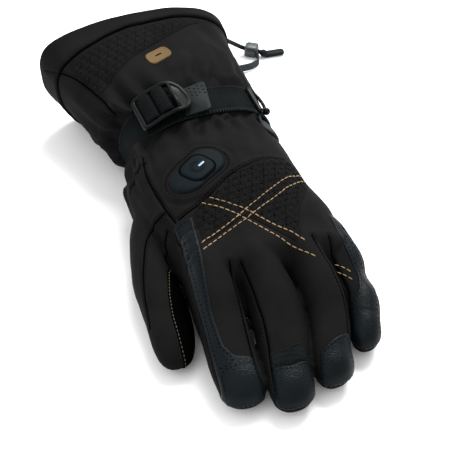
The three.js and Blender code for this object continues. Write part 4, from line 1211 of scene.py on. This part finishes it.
def picot_edges():
    """Small loops of thread across both edges of the strap."""
    angles = even_turns(165)
    parts = []
    for side in (-1, 1):
        inner = strap_ring(angles, side * 0.86, STRAP_TOP + 0.1)
        outer = strap_ring(angles, side * 1.04, STRAP_TOP - 0.5)
        for a, b in zip(inner, outer):
            if min(a[2], b[2]) >= 2:
                parts.append(swept([a, a + 0.6 * (b - a), b], round_section(0.42, 6)))
    return joined(parts)


add_piece("strap_edge_loops", picot_edges(), PICOT)

# Buckle, in its own tilted frame over the strap
BUCKLE_LENGTH = 36.0
BUCKLE_WIDTH = 33.0
BOW_ROWS = [[0, 0], [0.2, 0.4], [0.45, 0.8], [0.68, 1], [0.86, 0.7], [1, 0.1]]
BUCKLE_BOW = 7.0
BUCKLE_AT = np.array([-0.295 * WIDTH, 0.7 * LENGTH, 1.055 * HEIGHT])
BUCKLE_TILT = math.radians(9.3)
BUCKLE_CORNER = 3.0
# Cross bars: place as a share of the buckle's length, depth under the bow, width, height and corner
BUCKLE_BARS = [
    [0.235, 2.2, 2.6, 2.4, 0.8],
    [0.505, 2.2, 2.6, 2.4, 0.8],
    [0.735, 1.0, 2.2, 2.6, 0.9],
]


def bow(x):
    return BUCKLE_BOW * columns_at(BOW_ROWS, np.asarray(x, float) / BUCKLE_LENGTH)[:, 1]


def on_buckle(solid):
    """A solid taken from the buckle's own frame to the section tables' frame."""
    verts, faces = solid
    x, z = rotated(verts[:, [0, 2]], BUCKLE_TILT).T
    return np.column_stack([x, verts[:, 1], z]) + BUCKLE_AT, faces


def buckle_outline(inset):
    """The buckle's plan: square end with rounded corners, then a rounded D."""
    half = BUCKLE_WIDTH / 2 - inset
    near = inset + BUCKLE_CORNER
    straight = 0.62 * BUCKLE_LENGTH
    reach = BUCKLE_LENGTH - inset - straight
    turn = np.radians(np.linspace(180, 270, 6))
    corner = [near, BUCKLE_CORNER - half] + BUCKLE_CORNER * np.column_stack([np.cos(turn), np.sin(turn)])
    edge = [[x, -half] for x in np.linspace(near + 3, straight, 8)]
    bend = np.radians(np.linspace(-84, 84, 25))
    bulge = straight + reach * np.cos(bend) ** 0.8
    round_end = np.column_stack([bulge, half * signed_power(np.sin(bend), 0.9)])
    side = np.vstack([corner, edge])
    return np.vstack([side, round_end, side[::-1] * [1, -1]])


def dished_plate(steps=12):
    """Plate of the rounded end, dished towards its middle, and its underside."""
    rim = buckle_outline(2.2)
    rim = rim[rim[:, 0] > 0.72 * BUCKLE_LENGTH]
    centre = np.array([0.74 * BUCKLE_LENGTH, 0.0])
    rows = []
    for share in np.arange(steps + 1) / steps:
        flat = centre + (rim - centre) * share
        rows.append(np.column_stack([flat, bow(flat[:, 0]) - 1.9 + 1.1 * share**3]))
    verts = np.vstack(rows)
    wide = len(rim)
    faces = [(i * wide + j, i * wide + j + 1, (i + 1) * wide + j + 1, (i + 1) * wide + j)
             for i in range(steps) for j in range(wide - 1)]
    return [(verts, faces), (verts - np.array([0, 0, 1.2]), [face[::-1] for face in faces])]


def buckle_parts():
    """The buckle's rim, its cross bars and the plate of its rounded end."""
    outline = buckle_outline(1.6)
    rim = resampled(np.vstack([outline, outline[:1]]), 1.0)[:-1]
    path = np.column_stack([rim, bow(rim[:, 0]) - 1.7])
    ups = np.tile([0.0, 0.0, 1.0], (len(path), 1))
    parts = [swept(path, rounded_box(3.2, 3.8, 1.1), closed=True, ups=ups)]
    reach = BUCKLE_WIDTH / 2 - 2
    for share, deep, width, height, corner in BUCKLE_BARS:
        x = share * BUCKLE_LENGTH
        line = [[x, y, bow([x])[0] - deep] for y in (-reach, 0, reach)]
        parts.append(swept(line, rounded_box(width, height, corner)))
    return joined(parts + dished_plate())


add_piece("ladder_buckle", on_buckle(buckle_parts()), MOULDED, ["buckle"])

# Webbing threaded over the first two bars, in a darker copy of the strap's webbing: painted shade in the
# buckle
WAVE = [
    # share of the buckle's length, height over the bow in mm
    [0.07, -6.5], [0.1, -3.0], [0.14, -0.9], [0.19, 0.25], [0.235, 0.45], [0.28, 0.25], [0.33, -0.8],
    [0.36, -3.0],
    [0.385, -3.2], [0.41, -0.9], [0.455, 0.25], [0.505, 0.45], [0.555, 0.2], [0.6, -1.0], [0.625, -3.5],
    [0.64, -6.0],
]


def ribbon_solid(line, width, thick, half_steps=6):
    """A band along a line in the buckle's xz plane, with a place along and across for its weave."""
    ahead = unit(np.gradient(line, axis=0))
    side = np.column_stack([-ahead[:, 1], ahead[:, 0]])
    spread = np.linspace(-width / 2, width / 2, half_steps * 2 + 1)
    across = np.concatenate([spread, spread[::-1]])
    thinner = 0.35 * (np.abs(across) > width / 2 - 0.1)
    height = thick / 2 * np.repeat([1, -1], len(spread)) * (1 - thinner)
    verts, uvs = [], []
    for point, way, travel in zip(line, side, travel_along(line)):
        at = point + way * height[:, None]
        verts.append(np.column_stack([at[:, 0], across, at[:, 1]]))
        uvs.append(np.column_stack([np.full_like(across, travel), across]))
    return np.vstack(verts), ring_faces(len(line), len(across)), np.vstack(uvs)


wave_places = np.array(WAVE)[:, 0] * BUCKLE_LENGTH
wave = np.column_stack([wave_places, bow(wave_places) + np.array(WAVE)[:, 1], np.zeros(len(WAVE))])
*solid, coords = ribbon_solid(curve_through(wave, 5)[:, :2], STRAP_WIDTH, STRAP_THICK)
add_piece("webbing_over_bars", on_buckle(solid), SHADED_TAPE, ["threaded_webbing"], coords)

# Thumb tab of the buckle, with its grip dimples
TAB_START = 0.8 * BUCKLE_LENGTH
TAB_UP = -2.1
TAB_THICK = 1.4


def tab_outline():
    near = TAB_START + 17.0
    far = near + 5.0
    half = 14.5
    corners = np.array([[TAB_START, -0.9 * half], [near, -half], [far, half], [TAB_START, 0.9 * half]])
    out = []
    for i, here in enumerate(corners):
        radius = 3.2 if i in (1, 2) else 0.5
        before, after = corners[i - 1] - here, corners[(i + 1) % 4] - here
        a = here + before / np.linalg.norm(before) * radius
        b = here + after / np.linalg.norm(after) * radius
        for t in np.linspace(0, 1, 7):
            out.append((1 - t) ** 2 * a + 2 * t * (1 - t) * here + t**2 * b)
    return np.array(out)


def plate(outline, profile):
    """A plate closed at both faces. Profile rows are the inset of its outline and its height in mm."""
    centre = outline.mean(axis=0)
    away_from = outline - centre
    size = np.linalg.norm(away_from, axis=1, keepdims=True)
    rings = []
    for inset, height in profile:
        flat = centre + away_from * (1 - inset / size)
        rings.append(np.column_stack([flat, np.full(len(flat), height)]))
    return np.vstack(rings), ring_faces(len(rings), len(outline))


under = TAB_UP - TAB_THICK
tab = plate(tab_outline(), [(0.3, under), (0.0, under + 0.3), (0.0, TAB_UP - 0.3), (0.35, TAB_UP)])
add_piece("thumb_tab", on_buckle(tab), TAB, ["buckle_tab"])


def ball(centre, radii, rings=6, sides=10):
    verts = []
    for i in range(1, rings):
        tilt = math.pi * i / rings
        for turn in even_turns(sides):
            verts.append([math.sin(tilt) * math.cos(turn), math.sin(tilt) * math.sin(turn), math.cos(tilt)])
    top, bottom = len(verts), len(verts) + 1
    verts += [[0, 0, 1], [0, 0, -1]]
    faces = flipped(ring_faces(rings - 1, sides, "open"))
    last = (rings - 2) * sides
    for j in range(sides):
        k = (j + 1) % sides
        faces.append((top, j, k))
        faces.append((bottom, last + k, last + j))
    return np.array(verts) * radii + centre, faces


def dimples():
    """Grip dots on the tab, in staggered rows of three, left out near its edges."""
    parts = []
    for row in range(5):
        for column in range(3):
            x = TAB_START + 7.6 + row * 2.7 + 0.3 * column
            y = 2.2 + column * 3.7 + (1.85 if row % 2 else 0)
            if y < 12.6 and x < TAB_START + 19.2:
                parts.append(ball((x, y, TAB_UP + 0.05), (0.75, 0.75, 0.32)))
    return joined(parts)


add_piece("tab_grip_dots", on_buckle(dimples()), MOULDED)


# Hook beside the strap
def hook_parts():
    """A bar across the strap with an arch over it and a knob on the arch."""
    seat = STRAP_TOP + STRAP_GAP + 1.3
    far = points_on(BODY, 0.731, math.radians(43), seat)
    near = points_on(BODY, 0.658, math.radians(40), seat)
    out = np.array([0.82, 0.0, -0.57])

    def at(share, reach_out):
        return far + (near - far) * share + out * reach_out

    bar = resampled([far, (far + near) / 2, near], 2.0)
    arch = curve_through([at(0.06, 0), at(0.1, 3), at(0.32, 6.2), at(0.6, 6.8), at(0.8, 5.2), at(0.92, 0)], 7)
    knob = ball(at(0.88, 6), (2.5, 2.5, 2.5), 10, 16)
    return joined([swept(bar, rounded_box(2.9, 2.5, 0.9)), swept(arch, round_section(1.15, 10)), knob])


add_piece("hook_bar", hook_parts(), MOULDED, ["strap_hook"])

# Rows and columns of points of the hook's tape
HOOK_ROWS = 10
HOOK_COLUMNS = 7


def hook_tape():
    """The hook's short tape on the cloth, closed all round, with a place along and across for its weave."""
    rows, uvs = [], []
    for s in np.linspace(0, 1, HOOK_ROWS):
        for t in np.linspace(0, 1, HOOK_COLUMNS):
            rows.append([(0.345 + 0.055 * t + 0.03 * s) * WIDTH, (0.656 - 0.041 * s) * LENGTH])
            uvs.append([13 * s, 6.6 * t])
    placed, facing = on_skin(rows)
    wide, low = HOOK_COLUMNS, len(rows)
    faces = []
    for i in range(HOOK_ROWS - 1):
        for j in range(wide - 1):
            a = i * wide + j
            faces.append((a, a + wide, a + wide + 1, a + 1))
            faces.append((low + a, low + a + 1, low + a + wide + 1, low + a + wide))
    number = np.arange(low).reshape(HOOK_ROWS, wide)
    border = [*number[0], *number[1:, -1], *number[-1, -2::-1], *number[-2:0:-1, 0]]
    for a, b in zip(border, border[1:] + border[:1]):
        faces.append((a, b, low + b, low + a))
    return np.vstack([placed + facing * 2.0, placed + facing * 0.5]), faces, np.vstack([uvs, uvs])


*solid, coords = hook_tape()
add_piece("hook_tape", solid, RIBBON, ["hook_webbing"], coords)


# Button unit and badge, each a small mound on a smooth bed
def bent_plane(dx, dy):
    return np.stack([np.ones_like(dx), dx, dy, dx * dx, dx * dy, dy * dy], axis=-1)


def bed_height(centre, span):
    """A smooth bed over the skin near a place: a plane bent along both ways, fitted to the surface there."""
    rows, heights = [], []
    for dx in np.linspace(-span, span, 9):
        for dy in np.linspace(-span, span, 9):
            hit, _ = from_above(surface, centre[0] + dx, centre[1] + dy)
            if hit is not None:
                rows.append(bent_plane(dx, dy))
                heights.append(hit[2])
    fit = np.linalg.lstsq(np.array(rows), np.array(heights), rcond=None)[0]

    def height(points):
        return bent_plane(points[:, 0] - centre[0], points[:, 1] - centre[1]) @ fit

    return height


def mound(seat, size, corner, profile, shift=(0.0, 0.0)):
    """A mound with a rounded-box plan. Profile rows are the inset and the height over the bed in mm."""
    centre, turn, bed = seat
    length, width = size
    rings = []
    for inset, height in profile:
        shrink = min(inset, width / 2 - 0.05)
        ring = rounded_box(length - 2 * shrink, width - 2 * shrink, max(corner - shrink, 0.04), 10)
        flat = rotated(ring + np.array(shift), turn) + centre
        rings.append(np.column_stack([flat, bed(flat) + height]))
    return np.vstack(rings), ring_faces(len(rings), len(rings[0]), "last capped")


BUTTON_SEAT = (BUTTON_PLACE, BUTTON_TURN, bed_height(BUTTON_PLACE, 15.0))
HOUSING_PROFILE = [(-0.4, -1.5), (0.0, 0.6), (0.3, 1.5), (1.0, 2.0), (2.4, 2.25), (4.0, 2.35), (6.0, 2.4),
                   (8.5, 2.4), (10.9, 2.4)]
GROOVE_SHADE_PROFILE = [(0.0, 1.8), (0.0, 2.46), (0.35, 2.52), (0.9, 2.5), (4.0, 2.45), (8.5, 2.45)]
BUTTON_PROFILE = [(0.0, 1.8), (0.0, 2.5), (0.25, 2.85), (0.9, 3.0), (2.5, 3.05), (5.0, 3.05), (8.1, 3.05)]
LIGHT_PROFILE = [(0.0, 2.6), (0.0, 3.12), (0.2, 3.22), (0.65, 3.25)]
add_piece("rubber_housing", mound(BUTTON_SEAT, STADIUM, 11.0, HOUSING_PROFILE), RUBBER,
          ["button_housing"])
# The ring round the button is painted shade: a near-black sheet in the gap between the housing and the button
add_piece("button_groove_shade", mound(BUTTON_SEAT, (21.6, 19.8), 7.0, GROOVE_SHADE_PROFILE), GROOVE_SHADE_AND_PRINT)
add_piece("push_button", mound(BUTTON_SEAT, (18.8, 17.0), 5.8, BUTTON_PROFILE), RUBBER,
          ["power_button"])


def ring_mark():
    """Two plain open rings, one in the other, on the button's face."""
    centre, turn, bed = BUTTON_SEAT
    round_way = np.radians(np.linspace(35, 325, 40))
    circle = np.column_stack([np.cos(round_way), np.sin(round_way)])
    parts = []
    for radius in (4.6, 3.3):
        flat = rotated(circle * radius, turn) + centre
        path = np.column_stack([flat, bed(flat) + 3.02])
        parts.append(swept(path, round_section(0.17, 6)))
    return joined(parts)


add_piece("button_ring_mark", ring_mark(), GROOVE_SHADE_AND_PRINT)
add_piece("light_bar", mound(BUTTON_SEAT, (5.2, 1.5), 0.7, LIGHT_PROFILE, shift=(3.2, -0.4)), LIGHT,
          ["button_light"])

BADGE_PLACE = np.array([-0.04 * WIDTH, 0.848 * LENGTH])
BADGE_SEAT = (BADGE_PLACE, math.radians(18), bed_height(BADGE_PLACE, 8.0))
BADGE_PROFILE = [(0.0, -0.8), (0.0, 0.55), (0.25, 0.8), (0.8, 0.85), (1.1, 0.72), (3.0, 0.75), (5.2, 0.75)]
BADGE_BAR_PROFILE = [(0.0, 0.6), (0.0, 0.9), (0.2, 0.95), (0.45, 0.95)]
add_piece("bronze_badge", mound(BADGE_SEAT, (17.0, 10.5), 3.8, BADGE_PROFILE), BADGE, ["cuff_badge"])
add_piece("badge_bar", mound(BADGE_SEAT, (4.6, 1.0), 0.45, BADGE_BAR_PROFILE), GROOVE_SHADE_AND_PRINT)


# Thread
def over_panel(line, panel):
    """The line with every point that a sewn-on panel covers raised to the panel's face."""
    raised = np.array(line, float)
    for point in raised:
        hit, _ = from_above(patches[panel][2], *point[:2])
        if hit is not None:
            point[2] = max(point[2], hit.z)
    return raised


def edge_stitches(name, inset, length, gap, radius):
    """Stitches along the edge of a sewn-on piece, at an inset from it."""
    rows, faces, _ = patches[name]
    raised = RAISED[name][0]
    parts = []
    for chain in contour_lines(rows, faces, column_of[name], inset):
        if len(chain) > 6:
            chain = resampled(chain, 0.8)
            parts += stitch_parts(chain[:, :3] + chain[:, 3:6] * raised, chain[:, 3:6], length, gap, radius)
    return parts


# Pairs of gold lines over the knuckles and on the little finger
GOLD_LINES = [
    [[-0.286, 0.325], [-0.16, 0.345], [-0.048, 0.363], [0.134, 0.402], [0.26, 0.432], [0.386, 0.456]],
    [[-0.292, 0.31], [-0.16, 0.332], [-0.025, 0.351], [0.15, 0.383], [0.27, 0.412], [0.391, 0.439]],
    [[-0.15, 0.425], [-0.08, 0.4], [-0.013, 0.372], [0.045, 0.34], [0.096, 0.315], [0.16, 0.288],
    [0.219, 0.263]],
    [[-0.197, 0.419], [-0.11, 0.388], [-0.033, 0.352], [0.03, 0.318], [0.109, 0.276], [0.165, 0.254],
     [0.219, 0.234]],
    [[0.347, 0.253], [0.375, 0.239], [0.403, 0.224]],
    [[0.345, 0.239], [0.375, 0.22], [0.403, 0.202]],
]
gold = []
for rows in GOLD_LINES:
    line, facing = skin_line(rows, 1.2)
    line[:, 2] = np.maximum(line[:, 2], averaged(line[:, 2], 60))
    line = over_panel(line, "knuckle_panel")
    gold += stitch_parts(line, unit(averaged(facing, 60)), 3.1, 0.9, 0.37, lift=0.3)
add_piece("gold_stitches", joined(gold), GOLD_THREAD)

# Dark stitches inside the leather's edges and beside the seams
dark = []
for name in ("index_leather", "middle_leather_tip", "ring_leather_tip", "little_leather"):
    dark += edge_stitches(name, 1.9 if name == "index_leather" else 1.7, 1.7, 1.1, 0.26)
dark += edge_stitches("middle_ribbed_band", 1.2, 1.4, 0.9, 0.26)
for line, facing in seams:
    side = unit(np.cross(np.gradient(line, axis=0), facing))
    dark += stitch_parts(*on_skin(line - side * 1.9), 1.6, 1.1, 0.28, lift=0.16)
add_piece("seam_stitches", joined(dark), DARK_THREAD_AND_SEAM_SHADE)

# Tan stitches along the thumb's leather
tan = edge_stitches("thumb_leather", 1.0, 1.8, 0.8, 0.24)
add_piece("thumb_edge_stitches", joined(tan), TAN_THREAD)

# Painted seam shade: dark tubes in the dark thread's colour, sunk in the bottom of the seams' grooves, stand
# in for the shade there
seam_shade_tubes = []
for lines, depth, radius in ((seams, 0.5, 0.5), (hem_seams, 0.35, 0.6)):
    for line, facing in lines:
        seam_shade_tubes.append(swept(resampled(line - facing * depth, 1.6), round_section(radius, 6)))
add_piece("seam_shadows", joined(seam_shade_tubes), DARK_THREAD_AND_SEAM_SHADE)


def quilt_rows(outline, heading, spacing, first, count, reach):
    """Straight rows of stitching over a panel, kept inside its outline."""
    centre = in_mm(outline).mean(axis=0)
    way = np.array([math.cos(heading), math.sin(heading)])
    side = np.array([-way[1], way[0]])
    runs = []
    for k in range(count):
        middle = centre + side * (first + k * spacing)
        points = np.array([middle + way * t for t in np.arange(-reach, reach, 1.4)])
        runs += [run for run in runs_of(points, inside_distance(points, outline) > 1.8) if len(run) > 3]
    return runs


# Rows of quilting: heading in degrees, spacing and first row in mm, number of rows, and share across up to
# which the thread is grey
KNUCKLE_ROWS = [[8, 4.6, -40, 20, -1], [68, 7.0, -60, 20, -1]]
CUFF_ROWS = [[16, 4.4, -30, 14, 0.02], [70, 6.0, -70, 26, -1]]
specks, quilting = [], []
for panel, outline, table_rows, reach, length, gap in (
    ("knuckle_panel", KNUCKLE_PANEL, KNUCKLE_ROWS, 60, 1.6, 1.1),
    ("cuff_panel", CUFF_PANEL, CUFF_ROWS, 70, 1.3, 1.5),
):
    for heading, spacing, first, count, grey_to in table_rows:
        for run in quilt_rows(outline, math.radians(heading), spacing, first, count, reach):
            line, facing = on_skin(run)
            thread = specks if line[:, 0].mean() < grey_to * WIDTH else quilting
            thread += stitch_parts(over_panel(line, panel), facing, length, gap, 0.27, lift=0.05)
add_piece("quilting_stitches", joined(quilting), DARK_THREAD_AND_SEAM_SHADE)
add_piece("cuff_specks", joined(specks), GREY_THREAD)

# Distance of the zigzag's middle from the housing, and its swing to either side
ZIGZAG_AWAY = 2.7
ZIGZAG_SWING = 0.75


def zigzag_parts():
    """A zigzag of stitches round the button's housing."""
    outline = rounded_box(STADIUM[0] + 2 * ZIGZAG_AWAY, STADIUM[1] + 2 * ZIGZAG_AWAY, 13.6, 16)
    outline = resampled(np.vstack([outline, outline[:1]]), 1.35)[:-1]
    swing = np.where(np.arange(len(outline)) % 2, ZIGZAG_SWING, -ZIGZAG_SWING)[:, None]
    flat = outline * (1 + swing / np.linalg.norm(outline, axis=1, keepdims=True))
    pressed = surface_of(table[:, :3], tris)
    places = [from_above(pressed, x, y) for x, y in rotated(flat, BUTTON_TURN) + BUTTON_PLACE]
    points = np.array([hit for hit, _ in places])
    parts = []
    for a, b, (_, up) in zip(points, np.roll(points, -1, axis=0), places):
        parts += stitch_parts([a, b], np.array([up, up]), np.linalg.norm(b - a) * 0.92, 0.5, 0.2, lift=0.1)
    return joined(parts)


add_piece("button_zigzag", zigzag_parts(), DARK_THREAD_AND_SEAM_SHADE)

# Drawcord, its lock and pull, and the ribbon
CORD_ROWS = [
    [0.472, 1.0028, 38], [0.477, 1.0156, 37.4], [0.504, 1.0344, 33], [0.554, 1.0516, 26],
    [0.617, 1.0713, 17.5],
    [0.675, 1.0916, 9.4], [0.717, 1.0978, 5], [0.758, 1.0891, 4], [0.788, 1.0806, 3.7],
    [0.818, 1.0719, 3.2],
]
CORD_THICK = 3.2
cord_points = in_mm(CORD_ROWS)
cord_line = curve_through(cord_points, 4)
cord_piece = add_piece("braided_drawcord", swept(cord_line, round_section(CORD_THICK / 2, 12)), CORD,
                       ["drawcord"])

# The lock is turned along the cord, from the point before its own to the point after it
before, lock_at, after = cord_points[6:9, :2]
lock_turn = math.atan2(after[1] - before[1], after[0] - before[0])
lock_plate = plate(rounded_box(10.0, 9.0, 2.4, 5),
                   [(0.8, 0.3), (0.0, 0.9), (-0.1, 4.0), (0.2, 7.4), (0.9, 8.1), (1.8, 8.3)])
lock = add_piece("spring_lock", set_down(lock_plate, lock_turn, lock_at), LOCK_PAINTED_HIGHLIGHT,
                 ["cord_lock"])


def pull_solid():
    """The flat pull at the cord's end, with the ball that ends the cord."""
    at = cord_points[-1, :2]
    ball_solid = ball((*at, 3.05), (2.75, 2.75, 2.75), 10, 16)
    outline = rounded_box(15.5, 5.5, 1.8, 5) + np.array([7.75, 0])
    tongue = plate(outline, [(0.4, 0.6), (0.0, 0.9), (0.0, 2.6), (0.5, 3.0)])
    return joined([ball_solid, set_down(tongue, math.radians(-5), at)])


pull = add_piece("pull_tab", pull_solid(), TAB, ["cord_pull"])

# Height of the ribbon's middle over the floor
RIBBON_HEIGHT = 3.3
RIBBON_ROWS = [
    [0.322, 1.0009], [0.330, 1.0094], [0.375, 1.0203], [0.458, 1.0281], [0.550, 1.0312], [0.629, 1.0312],
    [0.696, 1.0319], [0.752, 1.0419], [0.772, 1.0594], [0.767, 1.0781],
]
ribbon_line = curve_through(in_mm([[*row, RIBBON_HEIGHT] for row in RIBBON_ROWS]), 3)[1:-1]
ribbon_piece = add_piece("tether_ribbon", swept(ribbon_line, rounded_box(0.8, 6.0, 0.3)), RIBBON,
                         ["ribbon_tether"])


# Lamps: name, place and size in metres, power in watts
LAMPS = [
    ["key", (0.8, 0.9, 1.7), 1.2, 66.0],
    ["fill", (-1.2, -0.9, 1.6), 1.5, 12.0],
]
# Half the floor's side and its depth under the part, in metres
FLOOR_REACH = 6
FLOOR_DEEP = 0.0003
SKY_STRENGTH = 1.1


def add_floor():
    mesh = bpy.data.meshes.new("floor")
    corners = [(x * FLOOR_REACH, y * FLOOR_REACH, 0) for x, y in ((-1, -1), (1, -1), (1, 1), (-1, 1))]
    mesh.from_pydata(corners, [], [(0, 1, 2, 3)])
    floor = bpy.data.objects.new("floor", mesh)
    floor.location.z = -FLOOR_DEEP
    bpy.context.scene.collection.objects.link(floor)
    paper = bpy.data.materials.new("paper")
    paper.use_nodes = True
    shader = paper.node_tree.nodes["Principled BSDF"]
    shader.inputs["Base Color"].default_value = (0.93, 0.93, 0.93, 1)
    shader.inputs["Roughness"].default_value = 0.9
    shader.inputs["Specular IOR Level"].default_value = 0.1
    mesh.materials.append(paper)


def add_light():
    world = bpy.data.worlds.new("studio")
    world.use_nodes = True
    sky = world.node_tree.nodes["Background"].inputs
    sky["Color"].default_value = (1, 1, 1, 1)
    sky["Strength"].default_value = SKY_STRENGTH
    bpy.context.scene.world = world
    for name, place, size, power in LAMPS:
        lamp = bpy.data.objects.new(name, bpy.data.lights.new(name, "AREA"))
        lamp.data.size = size
        lamp.data.energy = power
        lamp.location = place
        aim(lamp, -Vector(place))
        bpy.context.scene.collection.objects.link(lamp)
    bpy.context.scene.view_settings.view_transform = "Standard"


add_floor()
add_light()
